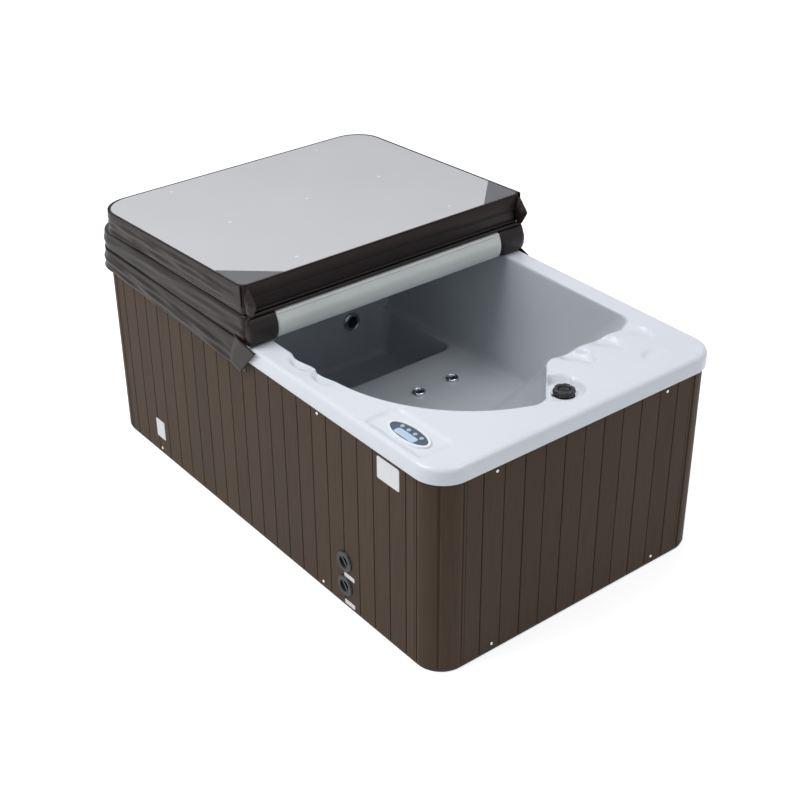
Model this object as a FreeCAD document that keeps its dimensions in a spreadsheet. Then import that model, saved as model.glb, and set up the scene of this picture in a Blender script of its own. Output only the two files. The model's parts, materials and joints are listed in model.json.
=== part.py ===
"""Two-person hot tub with a folding foam cover.

Frame: +Z up, origin on the floor at the middle of the cabinet. +Y runs along the tub's length,
from the control end to the covered end, and -X is the long side with the hose ports.
The cover lies as it does while someone gets in: its front half folded back on its rear half.
"""
import FreeCAD
import Part
import Sketcher
import math
import os

from FreeCAD import Placement, Rotation, Vector

doc = FreeCAD.newDocument("hot_tub")

# Driving dimensions, in millimetres
DIMENSIONS = {
    # Rim and cabinet
    "rim_length": 2000, "rim_width": 1200, "rim_radius": 108, "rim_top": 770, "rim_round": 18,
    "lip_height": 57, "lip_wall": 6, "deck_thick": 22, "overhang": 10, "panel_gap": 1.5,
    "base_thick": 10, "base_inset": 4, "panel_thick": 14, "panel_drop": 1, "corner_leg": 110,
    "long_pitch": 80, "short_pitch": 83, "joint_groove": 3, "board_groove": 2,
    "tube": 40, "post_inset": 150, "seat_gap": 0.3,
    # Basin
    "basin_wall": 8, "deck_right": 85, "deck_left": 95, "deck_rear": 120, "deck_front": 303,
    "lobe_share": 0.5686, "lobe_front": 95, "opening_corner": 75, "opening_round": 8,
    "seat_level": 330, "side_batter": 50, "back_rake": 392, "rear_batter": 50, "floor_round": 36,
    "rear_seat_level": 450, "rear_seat_depth": 280, "seat_round": 18,
    "well_level": 125, "well_length": 456, "well_side": 105, "well_shift": 10, "well_batter": 20,
    "well_corner": 110, "well_round": 35, "well_flare": 16, "well_rise": 5, "riser_bite": 10,
    "bearer": 60, "well_bearer_x": 250, "seat_bearer_x": 200, "bearer_length": 300,
    # Deck fittings
    "pad_length": 282, "pad_width": 130, "pad_depth": 8, "pad_left": 90, "pad_front": 237, "pad_corner": 34,
    "recess_radius": 78, "recess_depth": 30, "recess_share": 0.50882, "recess_clear": 1.7, "cup_wall": 6,
    "dish_slope": 0.3, "dish_reach": 10,
    "knob_right": 21, "knob_front": 2, "knob_radius": 37, "knob_height": 23, "knob_reach": 2,
    "stem_radius": 12, "stem_length": 26,
    "escutcheon_radius": 42, "escutcheon_height": 3, "valve_radius": 30, "valve_length": 95, "grip_radius": 7,
    "display_long": 185, "display_short": 84, "display_left": 87, "display_front": 240,
    "bezel_height": 5.5, "bezel_border": 10, "lens_height": 3.6, "button_radius": 7, "button_height": 4.2,
    "button_travel": 1.5, "button_pitch": 30, "button_off": 12,
    # Jets and suction
    "big_bezel": 41, "small_bezel": 26.5, "jet_depth": 50, "jet_wall": 3, "jet_tail": 20, "jet_bevel": 1.5,
    "jet_thick": 4.5, "ring_crest": 5.5,
    "riser_jet_drop": 139, "seat_jet_front": 183, "seat_jet_inner": 118, "seat_jet_outer": 278,
    "back_jet_drop": 210, "back_jet_side": 145, "back_jet_share": 0.14706,
    "suction_radius": 48, "suction_bore": 30, "suction_front": 82, "suction_height": 9, "slot_width": 7,
    "suction_wall": 4, "suction_flange": 8, "collar": 18, "socket_start": 6,
    # Hose ports
    "port_front": 479, "port_upper": 187, "port_lower": 89, "port_radius": 38, "port_bore": 24,
    "port_flange": 6, "port_wall": 3, "port_length": 56, "cap_depth": 16, "bar_width": 9, "bar_turn": 40,
    # Equipment
    "pump_z": 88, "motor_radius": 66, "motor_front": 90, "motor_length": 230,
    "volute_radius": 76, "volute_length": 66, "pipe_radius": 24, "pipe_wall": 3, "elbow_run": 90,
    "fin_height": 5, "stub": 26, "box_length": 290, "box_depth": 120, "box_height": 200, "box_side": 20,
    "box_front": 70, "heater_radius": 32, "heater_inset": 10, "heater_flange": 6, "flange_width": 16,
    "manifold_side": 45.7, "manifold_front": 182,
    "blower_radius": 60, "blower_height": 150, "blower_side": 155.7, "blower_front": 300,
    # Cover
    "cover_thick": 110, "cover_taper": 24, "cover_side": 4, "cover_corner": 112,
    "liner_thick": 1.7, "liner_gap": 0.1,
    "fold_y": -29, "fold_face": 7, "welt_radius": 6.2, "welt_short": 10, "fold_clear": 0.25,
    "flap_rear": 92, "flap_front": 80, "flap_thick": 3, "flap_front_thick": 2.5, "flap_lap": 6, "flap_short": 6,
    "tab_thick": 3, "tab_tip": 60, "tab_foot": 43, "tab_back": 89, "tab_top": 11, "tab_drop": 12,
    "tab_rise": 36, "tab_tip_rise": 9, "tab_slope": 6,
    "seal_thick": 6, "seal_end": 112, "seal_low": 3, "seal_top": 8, "seal_short": 4,
    "grommet_radius": 13, "grommet_pitch": 332, "grommet_near": 87, "grommet_middle": 500, "grommet_far": 70,
    "handle_length": 120, "handle_height": 26, "handle_thick": 3, "handle_x": 328,
}
dims = doc.addObject("Spreadsheet::Sheet", "dims")
for row, (alias, value) in enumerate(DIMENSIONS.items(), start=1):
    dims.set(f"A{row}", alias)
    dims.set(f"B{row}", str(value))
    dims.setAlias(f"B{row}", alias)
doc.recompute()


def size(alias):
    """A driving dimension, read from the sheet."""
    return float(getattr(dims, alias))


# Places that follow from the driving dimensions
half_length = size("rim_length") / 2 - size("overhang")
half_width = size("rim_width") / 2 - size("overhang")
front_edge, rear_edge = -size("rim_length") / 2, size("rim_length") / 2
left_edge, right_edge = -size("rim_width") / 2, size("rim_width") / 2
opening_left, opening_right = left_edge + size("deck_left"), right_edge - size("deck_right")
opening_rear = rear_edge - size("deck_rear")
opening_width = opening_right - opening_left
lobe_radius = size("lobe_share") * opening_width
riser_y = opening_rear - size("rear_seat_depth")
deck_top = size("rim_top")
deck_under = deck_top - size("deck_thick")
base_top = size("base_thick")
panel_top = deck_top - size("lip_height") - size("panel_drop")
tube, gap, wall = size("tube"), size("seat_gap"), size("basin_wall")
ring_half_width = half_width - size("panel_thick") - gap
ring_half_length = half_length - size("panel_thick") - gap
well_x = (opening_left + opening_right) / 2 + size("well_shift")
well_half_x = opening_width / 2 - size("well_side") + size("well_shift")
well_half_y = size("well_length") / 2
well_y = riser_y + size("riser_bite") - well_half_y
X_AXIS, Y_AXIS, Z_AXIS = Vector(1, 0, 0), Vector(0, 1, 0), Vector(0, 0, 1)
ZERO = Vector(0, 0, 0)
ROUND_SHARES = (1, 0.95, 0.9, 0.85, 0.8, 0.7, 0.6)
sub_parts = []


def keep(thing, label):
    """Names a document object as one of the sub-parts that are written out."""
    thing.Label = label
    sub_parts.append(thing)
    return thing


def feature(label, shape, placement=None):
    """A sub-part whose form no primitive or body fits."""
    thing = doc.addObject("Part::Feature", label)
    thing.Shape = shape
    if placement:
        thing.Placement = placement
    return keep(thing, label)


def bind(thing, **expressions):
    """Binds properties to expressions on the sheet; a double underscore stands for a dot."""
    for name, expression in expressions.items():
        thing.setExpression(name.replace("__", "."), expression)
    return thing


# Sketches and features of the bodies
def new_sketch(body, name, height="0", role="XY_Plane"):
    sketch = body.newObject("Sketcher::SketchObject", name)
    plane = next(f for f in body.Origin.OriginFeatures if f.Role == role)
    sketch.AttachmentSupport = [(plane, "")]
    sketch.MapMode = "FlatFace"
    sketch.setExpression("AttachmentOffset.Base.z", height)
    return sketch


def constrain(sketch, kind, *where, name=None, expression=None):
    """Adds one constraint, named and bound where the sheet sets it."""
    index = sketch.addConstraint(Sketcher.Constraint(kind, *where))
    if name:
        sketch.renameConstraint(index, name)
        sketch.setExpression(f".Constraints.{name}", expression)


def rectangle(body, name, width, length, height="0"):
    """A rectangle about the body's origin, its two sides bound to the sheet."""
    sketch = new_sketch(body, name, height)
    w, l = 50.0, 80.0
    corners = [Vector(-w, -l, 0), Vector(w, -l, 0), Vector(w, l, 0), Vector(-w, l, 0)]
    for start, end in zip(corners, corners[1:] + corners[:1]):
        sketch.addGeometry(Part.LineSegment(start, end))
    for side in range(4):
        constrain(sketch, "Coincident", side, 2, (side + 1) % 4, 1)
    for side in (0, 2):
        constrain(sketch, "Horizontal", side)
        constrain(sketch, "Vertical", side + 1)
    constrain(sketch, "Symmetric", 0, 1, 1, 2, -1, 1)
    constrain(sketch, "DistanceX", 0, 1, 0, 2, 2 * w, name="width", expression=width)
    constrain(sketch, "DistanceY", 1, 1, 1, 2, 2 * l, name="length", expression=length)
    return sketch


def circle(body, name, radius, height="0", x="0", y="0", role="XY_Plane"):
    """A circle whose centre and radius are bound to the sheet."""
    sketch = new_sketch(body, name, height, role)
    sketch.addGeometry(Part.Circle(Vector(1, 1, 0), Z_AXIS, 5))
    constrain(sketch, "Radius", 0, 5, name="radius", expression=radius)
    constrain(sketch, "DistanceX", -1, 1, 0, 3, 1, name="across", expression=x)
    constrain(sketch, "DistanceY", -1, 1, 0, 3, 1, name="along", expression=y)
    return sketch


def vee(body, name, depth, x, y):
    """A square-cornered V open towards -Y, its mouth's middle and its depth bound to the sheet."""
    sketch = new_sketch(body, name)
    corners = [Vector(-3, 0, 0), Vector(3, 0, 0), Vector(0, 3, 0)]
    for start, end in zip(corners, corners[1:] + corners[:1]):
        sketch.addGeometry(Part.LineSegment(start, end))
    for side in range(3):
        constrain(sketch, "Coincident", side, 2, (side + 1) % 3, 1)
    constrain(sketch, "Horizontal", 0)
    constrain(sketch, "DistanceX", 0, 1, 0, 2, 6, name="mouth", expression=f"2 * {depth}")
    constrain(sketch, "DistanceX", 0, 1, 2, 1, 3, name="half", expression=depth)
    constrain(sketch, "DistanceY", 0, 1, 2, 1, 3, name="depth", expression=depth)
    constrain(sketch, "DistanceX", -1, 1, 2, 1, 1, name="across", expression=x)
    constrain(sketch, "DistanceY", -1, 1, 0, 1, 1, name="along", expression=y)
    return sketch


def pad(body, sketch, length, name):
    thing = body.newObject("PartDesign::Pad", name)
    thing.Profile = sketch
    return bind(thing, Length=length)


def pocket(body, sketch, name, depth=None):
    """A pocket cut down from its sketch, or both ways through everything where no depth is given."""
    thing = body.newObject("PartDesign::Pocket", name)
    thing.Profile = sketch
    if depth:
        return bind(thing, Length=depth)
    thing.Type = "ThroughAll"
    thing.Midplane = True
    return thing


def round_edges(body, base, radius, name, wanted):
    """Fillets those edges of a body's last feature that a test picks."""
    doc.recompute()
    thing = body.newObject("PartDesign::Fillet", name)
    picked = [f"Edge{n}" for n, edge in enumerate(base.Shape.Edges, start=1) if wanted(edge)]
    thing.Base = (base, picked)
    return bind(thing, Radius=radius)


def bevel_edges(body, base, width, name, wanted):
    """Bevels those edges of a body's last feature that a test picks."""
    doc.recompute()
    thing = body.newObject("PartDesign::Chamfer", name)
    picked = [f"Edge{n}" for n, edge in enumerate(base.Shape.Edges, start=1) if wanted(edge)]
    thing.Base = (base, picked)
    bind(thing, Size=width)
    doc.recompute()
    return thing


def level_at(height):
    """A test for edges that lie level at a height."""
    return lambda e: abs(e.BoundBox.ZMin - height) < 0.1 and abs(e.BoundBox.ZMax - height) < 0.1


def polar_row(body, feature_made, sketch, count, name):
    """Repeats a feature about the axis of its sketch's plane."""
    doc.recompute()
    thing = body.newObject("PartDesign::PolarPattern", name)
    thing.Originals = [feature_made]
    thing.Axis = (sketch, ["N_Axis"])
    thing.Angle = 360
    thing.Occurrences = count
    body.Tip = thing
    doc.recompute()
    return thing


def is_upright(edge):
    a, b = edge.Vertexes[0].Point, edge.Vertexes[-1].Point
    return abs(a.x - b.x) < 0.01 and abs(a.y - b.y) < 0.01 and abs(a.z - b.z) > 1


def edges_at(shape, height):
    """The edges of a shape that lie level at a height."""
    boxes = [(edge, edge.BoundBox) for edge in shape.Edges]
    return [e for e, b in boxes if abs(b.ZMin - height) < 0.01 and abs(b.ZMax - height) < 0.01]


def rounded(shape, radius, edges):
    """Rounds edges by a radius or, where the walls leave too little room, by the next smaller share of it."""
    for share in ROUND_SHARES:
        try:
            made = shape.makeFillet(share * radius, edges)
        except Part.OCCError:
            continue
        if made.isValid():
            return made
    raise RuntimeError("no radius fits these edges")


# Outlines and solids of lines and arcs
def arc(a, b, c):
    return Part.Arc(a, b, c).toShape()


def rounded_rectangle(half_x, half_y, radius, height, x=0.0, y=0.0):
    """A closed wire: a rectangle about a point, with round corners."""
    arcs = []
    for sx, sy, start in ((1, -1, 270), (1, 1, 0), (-1, 1, 90), (-1, -1, 180)):
        centre = Vector(x + sx * (half_x - radius), y + sy * (half_y - radius), height)
        arcs.append(Part.makeCircle(radius, centre, Z_AXIS, start, start + 90))
    ends = [(e.Vertexes[0].Point, e.Vertexes[-1].Point) for e in arcs]
    path = []
    for n, edge in enumerate(arcs):
        path.append(edge)
        path.append(Part.makeLine(ends[n][1], ends[(n + 1) % 4][0]))
    return Part.Wire(path)


def prism(wire, height):
    return Part.Face(wire).extrude(Vector(0, 0, height))


def box(low, high):
    """A box between two corners."""
    return Part.makeBox(high[0] - low[0], high[1] - low[1], high[2] - low[2], Vector(*low))


def revolve(profile):
    """A solid of revolution about Z from (radius, height) corners."""
    points = [Vector(r, 0, z) for r, z in profile]
    return Part.Face(Part.makePolygon(points + points[:1])).revolve(ZERO, Z_AXIS, 360)


def elbowed_pipe(points, radius):
    """A pipe of straight runs that meet in mitred elbows."""
    corners = [Vector(*p) for p in points]
    section = Part.Wire(Part.makeCircle(radius, corners[0], corners[1] - corners[0]))
    return Part.makePolygon(corners).makePipeShell([section], True, True, 1)


# Tub shell: one acrylic sheet formed over deck, seats and foot well
# Bends of the opening's front: shares of its width from the left, and distances before its straight front edge
TIP, TIP_END = (0.405, 179), (0.45, 154)
NOTCH, NOTCH_MIDDLE, NOTCH_END = (0.564, 34), (0.5882, 11), (0.6225, 0)
LOBE_MIDDLE, LOBE_END = Vector(-0.83, -0.557, 0), Vector(-205, -543, 0)


def basin_outline(height, inset, shift, rear):
    """The opening's outline at a height, drawn in by an inset and its front moved back by a shift.

    The right side and the rear are straight, and a wide round lobe fills the front left."""
    left, right = opening_left + inset, opening_right - inset
    grow = max(-inset, 0.0)
    corner = size("opening_corner")
    nook = corner * (1 - math.sqrt(0.5))
    radius = lobe_radius - inset
    lobe = Vector(opening_left + lobe_radius, front_edge + size("lobe_front") + lobe_radius + shift, height)
    lobe_start = Vector(left, lobe.y, height)
    lobe_middle = lobe + LOBE_MIDDLE / LOBE_MIDDLE.Length * radius
    lobe_end = lobe + LOBE_END / LOBE_END.Length * radius

    straight_front = front_edge + size("deck_front") + shift

    def bend_point(place):
        return Vector(opening_left + place[0] * opening_width, straight_front - place[1], height)

    inwards = Vector(0, max(inset, -size("basin_wall")), 0)
    tip, tip_end = bend_point(TIP) + inwards, bend_point(TIP_END) + inwards
    aside = Vector(0.6 * grow, -0.6 * grow, 0)
    notch, notch_middle = bend_point(NOTCH) + aside, bend_point(NOTCH_MIDDLE) + aside
    notch_end = bend_point(NOTCH_END) - Vector(0, grow, 0)
    front = straight_front - grow
    front_right = [Vector(right - corner, front, height), Vector(right - nook, front + nook, height),
                   Vector(right, front + corner, height)]
    rear_right = [Vector(right, rear - corner, height), Vector(right - nook, rear - nook, height),
                  Vector(right - corner, rear, height)]
    rear_left = [Vector(left + corner, rear, height), Vector(left + nook, rear - nook, height),
                 Vector(left, rear - corner, height)]
    return Part.Wire([
        arc(lobe_start, lobe_middle, lobe_end),
        arc(lobe_end, tip, tip_end),
        Part.makeLine(tip_end, notch),
        arc(notch, notch_middle, notch_end),
        Part.makeLine(notch_end, front_right[0]),
        arc(*front_right),
        Part.makeLine(front_right[2], rear_right[0]),
        arc(*rear_right),
        Part.makeLine(rear_right[2], rear_left[0]),
        arc(*rear_left),
        Part.makeLine(rear_left[2], lobe_start),
    ])


def basin_solid(grow):
    """The hollow above the two seats, or its outside where it grows by the wall."""
    floor, rear_seat = size("seat_level") - grow, size("rear_seat_level") - grow
    top = basin_outline(deck_top, -grow, 0, opening_rear + grow)
    low = basin_outline(floor, size("side_batter") - grow, size("back_rake"),
                        opening_rear - size("rear_batter") + grow)
    hollow = Part.makeLoft([top, low], True, True)
    if not grow:
        hollow = rounded(hollow, size("floor_round"), edges_at(hollow, floor))
    bench = box((left_edge, riser_y + grow, 0), (right_edge, rear_edge, rear_seat))
    hollow = hollow.cut(bench)
    return hollow if grow else hollow.makeFillet(size("seat_round"), edges_at(hollow, rear_seat))


def well_solid(grow):
    """The foot well's hollow between the seats, or its outside where it grows by the wall."""
    batter, corner = size("well_batter"), size("well_corner") + grow
    half_x, half_y, floor = well_half_x + grow, well_half_y + grow, size("well_level") - grow
    rise = size("rear_seat_level") + size("well_rise")
    top = rounded_rectangle(half_x, half_y, corner, rise, well_x, well_y)
    low = rounded_rectangle(half_x - batter, half_y - batter, corner - batter, floor, well_x, well_y)
    hollow = Part.makeLoft([top, low], True, True)
    if grow:
        return hollow
    hollow = hollow.makeFillet(size("well_round"), edges_at(hollow, floor))
    flare, seat = size("well_flare"), size("seat_level")
    narrow = batter * 0.4
    wide = rounded_rectangle(half_x - narrow + 1.2 * flare, half_y - narrow + 0.6 * flare, corner,
                             seat + 1, well_x, well_y - 0.6 * flare)
    throat = rounded_rectangle(half_x - narrow, half_y - narrow, corner, seat - 1.1 * flare, well_x, well_y)
    return hollow.fuse(Part.makeLoft([wide, throat], True, True))


def facing(point, normal):
    """The placement that stands a part, drawn along +Z, on a wall."""
    return Placement(point, Rotation(Z_AXIS, normal))


def on_slope(x, height, low, high):
    """A point of a wall that leans from a low edge to a high one, each (y, z), and the way it faces."""
    share = (height - low[1]) / (high[1] - low[1])
    lean = Vector(0, high[0] - low[0], high[1] - low[1]).normalize()
    sign = 1 if lean.y < 0 else -1
    point = Vector(x, low[0] + share * (high[0] - low[0]), height)
    return point, Vector(0, sign * lean.z, -sign * lean.y)


front_back = ((front_edge + size("deck_front") + size("back_rake"), size("seat_level")),
              (front_edge + size("deck_front"), deck_top))
riser = ((riser_y + size("riser_bite") - size("well_batter"), size("well_level")),
         (riser_y + size("riser_bite"), size("rear_seat_level") + size("well_rise")))
riser_off = well_half_x - size("well_corner") - size("big_bezel")
riser_z = size("rear_seat_level") - size("riser_jet_drop")
seat_y = well_y - well_half_y - size("seat_jet_front")
inner_x, outer_x = size("seat_jet_inner"), size("seat_jet_outer")
back_x, back_z = opening_right - size("back_jet_side"), deck_top - size("back_jet_drop")
back_pitch = size("back_jet_share") * opening_width


def seat_jet(x):
    return Vector(x, seat_y, size("seat_level")), Z_AXIS, "small_bezel"


# Each jet's place on its wall, the way it faces and its ring
JETS = {
    "riser_jet_right": (*on_slope(well_x + riser_off, riser_z, *riser), "big_bezel"),
    "riser_jet_left": (*on_slope(well_x - riser_off, riser_z, *riser), "big_bezel"),
    "seat_jet_inner_right": seat_jet(inner_x),
    "seat_jet_outer_right": seat_jet(outer_x),
    "seat_jet_inner_left": seat_jet(-inner_x),
    "seat_jet_outer_left": seat_jet(-outer_x),
    "front_back_jet_right": (*on_slope(back_x, back_z, *front_back), "small_bezel"),
    "front_back_jet_left": (*on_slope(back_x - back_pitch, back_z, *front_back), "small_bezel"),
}


def jet_hole(bezel):
    """The hole in the shell that a jet of a given ring radius goes through."""
    return 0.78 * bezel


def deck_dish(shell, x, y, radius, depth):
    """A round recess in the deck with a sloping wall."""
    spread = size("dish_slope")
    reach = size("dish_reach")
    foot, mouth = radius - depth * spread, radius + reach * spread
    return shell.cut(Part.makeCone(foot, mouth, depth + reach, Vector(x, y, deck_top - depth)))


# The knob's recess lies just behind the frame's top ring
recess_front = size("overhang") + size("panel_thick") + gap + tube + size("cup_wall") + size("recess_clear")
recess_spot = (opening_left + size("recess_share") * opening_width,
               front_edge + recess_front + size("recess_radius"))
knob_spot = Vector(recess_spot[0] + size("knob_right"), recess_spot[1] - size("knob_front"),
                   deck_top - size("recess_depth"))
pad_spot = (left_edge + size("pad_left"), front_edge + size("pad_front"))
suction_spot = Vector(well_x, well_y - size("suction_front"), size("well_level"))
PROUD = 60
# Scoops in the deck beside the opening: places from its left and front edges, radius and depth
SCOOPS = ((683, 258, 76, 28), (823, 258, 70, 11), (951, 252, 66, 6), (27, 778, 74, 13), (27, 655, 74, 13))


def tub_shell():
    lip_low, lip_wall = deck_top - size("lip_height"), size("lip_wall")
    radius = size("rim_radius")
    rim = prism(rounded_rectangle(right_edge, rear_edge, radius, lip_low), size("lip_height"))
    rim = rim.makeFillet(size("rim_round"), edges_at(rim, deck_top))
    under = rounded_rectangle(right_edge - lip_wall, rear_edge - lip_wall, radius - lip_wall, lip_low - 1)
    rim = rim.cut(prism(under, deck_under - lip_low + 1))
    hollow = basin_solid(0).fuse(well_solid(0))
    shell = rim.fuse(basin_solid(wall).fuse(well_solid(wall))).cut(hollow)
    margin = size("rim_round") + PROUD

    def round_opening(edge):
        found = edge.BoundBox
        reach_x, reach_y = max(-found.XMin, found.XMax), max(-found.YMin, found.YMax)
        return reach_x < right_edge - margin and reach_y < rear_edge - margin

    shell = shell.makeFillet(size("opening_round"), [e for e in edges_at(shell, deck_top) if round_opening(e)])
    deepest = SCOOPS[0]
    cups = [(*recess_spot, size("recess_radius"), size("recess_depth")),
            (opening_left + deepest[0], front_edge + deepest[1], *deepest[2:])]
    thick = size("cup_wall")
    for x, y, r, depth in cups:
        cup = Part.makeCylinder(r + thick, depth + thick, Vector(x, y, deck_top - depth - thick))
        shell = shell.fuse(cup.cut(hollow))
    shell = deck_dish(shell, *cups[0])
    for x, y, r, depth in SCOOPS:
        shell = deck_dish(shell, opening_left + x, front_edge + y, r, depth)
    pad_outline = rounded_rectangle(size("pad_width") / 2, size("pad_length") / 2, size("pad_corner"),
                                    deck_top - size("pad_depth"), *pad_spot)
    shell = shell.cut(prism(pad_outline, PROUD))
    for point, normal, bezel in JETS.values():
        hole = Part.makeCylinder(jet_hole(size(bezel)), PROUD, Vector(0, 0, -PROUD / 2))
        hole.Placement = facing(point, normal)
        shell = shell.cut(hole)
    for spot, bore in ((knob_spot, "stem_radius"), (suction_spot, "suction_bore")):
        shell = shell.cut(Part.makeCylinder(size(bore) + gap, PROUD, spot - Vector(0, 0, PROUD / 2)))
    return shell


feature("tub_shell", tub_shell())


# Base pan, frame and bearers
def base_pan():
    body = doc.addObject("PartDesign::Body", "base_pan")
    inset = "2 * (dims.overhang + dims.base_inset)"
    outline = rectangle(body, "base_outline", f"dims.rim_width - {inset}", f"dims.rim_length - {inset}")
    plate = pad(body, outline, "dims.base_thick", "base_plate")
    round_edges(body, plate, "dims.rim_radius - dims.overhang - dims.base_inset", "base_corners", is_upright)
    keep(body, "base_pan")


RING_INSET = "(dims.overhang + dims.panel_thick + dims.seat_gap)"


def frame_ring(label, height):
    """A ring of square tube, bent at the corners to follow the cabinet."""
    body = doc.addObject("PartDesign::Body", label)
    width, length = f"dims.rim_width - 2 * {RING_INSET}", f"dims.rim_length - 2 * {RING_INSET}"
    block = pad(body, rectangle(body, label + "_outline", width, length, height), "dims.tube", label + "_block")
    round_edges(body, block, f"dims.rim_radius - {RING_INSET}", label + "_bend", is_upright)
    doc.recompute()
    inner = rectangle(body, label + "_inner", f"{width} - 2 * dims.tube", f"{length} - 2 * dims.tube",
                      f"{height} + dims.tube")
    opened = pocket(body, inner, label + "_open", "dims.tube")

    def inside(edge):
        point = edge.Vertexes[0].Point
        return is_upright(edge) and abs(abs(point.x) - ring_half_width + tube) < 0.1 \
            and abs(abs(point.y) - ring_half_length + tube) < 0.1

    round_edges(body, opened, f"dims.rim_radius - {RING_INSET} - dims.tube", label + "_inner_bend", inside)
    keep(body, label)


def frame_posts():
    """Posts between the rings, near the cabinet's corners and at the middle of its long sides."""
    low, high = base_top + tube, deck_under - gap - tube
    long_y, short_x = half_length - size("post_inset"), half_width - size("post_inset")
    places = [(side * (ring_half_width - tube / 2), y) for side in (-1, 1) for y in (-long_y, 0, long_y)]
    places += [(x, side * (ring_half_length - tube / 2)) for side in (-1, 1) for x in (-short_x, short_x)]
    half = tube / 2
    posts = [box((x - half, y - half, low), (x + half, y + half, high)) for x, y in places]
    feature("frame_posts", Part.makeCompound(posts))


def bearers():
    """Timber bearers on the base pan under the foot well and under the front seat."""
    half = size("bearer") / 2
    well_run, seat_run = well_half_y - 50, size("bearer_length") / 2
    seat_mid = (front_back[0][0] + well_y - well_half_y) / 2
    timbers = []
    for off, mid, run, top in ((size("well_bearer_x"), well_y, well_run, size("well_level")),
                               (size("seat_bearer_x"), seat_mid, seat_run, size("seat_level"))):
        high = top - wall - gap
        timbers += [box((x - half, mid - run, base_top), (x + half, mid + run, high)) for x in (-off, off)]
    feature("bearers", Part.makeCompound(timbers))


base_pan()
frame_ring("frame_bottom_ring", "dims.base_thick")
frame_ring("frame_top_ring", "dims.rim_top - dims.deck_thick - dims.seat_gap - dims.tube")
frame_posts()
bearers()


# Cabinet: panels of narrow boards, and corner pieces bent round the corners
PANEL_HEIGHT = "dims.rim_top - dims.lip_height - dims.panel_drop - dims.base_thick"
LONG_RUN = "(dims.rim_length - 2 * dims.overhang - 2 * dims.corner_leg - dims.panel_gap)"
SHORT_RUN = "(dims.rim_width - 2 * dims.overhang - 2 * dims.corner_leg - dims.panel_gap)"
SIDE_OFF = "(dims.rim_width / 2 - dims.overhang - dims.panel_thick / 2)"
END_OFF = "(dims.rim_length / 2 - dims.overhang - dims.panel_thick / 2)"


def groove_row(body, name, radius, start, step, count):
    """A row of upright grooves along the outer face of a panel."""
    line = vee(body, name, radius, f"-({start})", "-dims.panel_thick / 2")
    groove = pocket(body, line, name + "_cut")
    doc.recompute()
    row = body.newObject("PartDesign::LinearPattern", name + "_row")
    row.Originals = [groove]
    row.Direction = (line, ["H_Axis"])
    row.setExpression("Length", f"({count} - 1) * {step}")
    row.setExpression("Occurrences", f"{count}")
    body.Tip = row
    doc.recompute()


def cabinet_panel(label, run, turn, stand_off, long_side):
    """A boarded panel, drawn along X with its outer face towards -Y, then turned to its side."""
    body = doc.addObject("PartDesign::Body", label)
    pad(body, rectangle(body, label + "_outline", run, "dims.panel_thick"), PANEL_HEIGHT, label + "_board")
    doc.recompute()
    if long_side:
        steps = f"floor({run} / 2 / dims.long_pitch - 0.5)"
        groove_row(body, label + "_joint", "dims.joint_groove", f"({steps} + 0.5) * dims.long_pitch",
                   "dims.long_pitch", f"(2 * {steps} + 2)")
    else:
        odd = f"floor(({run} / 2 / dims.short_pitch - 1) / 2)"
        even = f"floor({run} / 4 / dims.short_pitch)"
        groove_row(body, label + "_joint", "dims.joint_groove", f"(2 * {odd} + 1) * dims.short_pitch",
                   "2 * dims.short_pitch", f"(2 * {odd} + 2)")
        groove_row(body, label + "_middle", "dims.board_groove", f"2 * {even} * dims.short_pitch",
                   "2 * dims.short_pitch", f"(2 * {even} + 1)")
    if label == "left_panel":
        for name in ("port_upper", "port_lower"):
            hole = circle(body, f"{label}_{name}", "dims.port_bore + dims.port_wall + dims.seat_gap", "0",
                          "dims.rim_length / 2 - dims.port_front", f"dims.{name} - dims.base_thick", "XZ_Plane")
            body.Tip = pocket(body, hole, f"{label}_{name}_hole")
            doc.recompute()
    body.Placement = Placement(ZERO, Rotation(Z_AXIS, turn))
    out = body.Placement.Rotation.multVec(Vector(0, -1, 0))
    bind(body, Placement__Base__x=f"{round(out.x)} * {stand_off}",
         Placement__Base__y=f"{round(out.y)} * {stand_off}", Placement__Base__z="dims.base_thick")
    keep(body, label)


cabinet_panel("front_panel", SHORT_RUN, 0, END_OFF, False)
cabinet_panel("right_panel", LONG_RUN, 90, SIDE_OFF, True)
cabinet_panel("rear_panel", SHORT_RUN, 180, END_OFF, False)
cabinet_panel("left_panel", LONG_RUN, 270, SIDE_OFF, True)


def corner_piece(label, sx, sy):
    """A corner piece with a groove at each end and at the middle of its bend."""
    radius, thick = size("rim_radius") - size("overhang"), size("panel_thick")
    height = panel_top - base_top
    leg = size("corner_leg") - size("panel_gap") / 2
    start_x, start_y = half_width - leg, half_length - leg
    centre = Vector(half_width - radius, half_length - radius, base_top)
    slant = Vector(math.sqrt(0.5), math.sqrt(0.5), 0)

    def bend(r):
        return [centre + X_AXIS * r, centre + slant * r, centre + Y_AXIS * r]

    outer, inner = bend(radius), bend(radius - thick)
    ends = [Vector(half_width, start_y, base_top), Vector(start_x, half_length, base_top),
            Vector(start_x, half_length - thick, base_top), Vector(half_width - thick, start_y, base_top)]
    outline = Part.Wire([
        Part.makeLine(ends[0], outer[0]), arc(*outer), Part.makeLine(outer[2], ends[1]),
        Part.makeLine(ends[1], ends[2]), Part.makeLine(ends[2], inner[2]), arc(inner[2], inner[1], inner[0]),
        Part.makeLine(inner[0], ends[3]), Part.makeLine(ends[3], ends[0]),
    ])
    piece = prism(outline, height)
    for point in outer:
        piece = piece.cut(Part.makeCylinder(size("joint_groove"), height + 20, point - Vector(0, 0, 10)))
    if sx < 0:
        piece = piece.mirror(ZERO, X_AXIS)
    if sy < 0:
        piece = piece.mirror(ZERO, Y_AXIS)
    feature(label, piece)


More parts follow.
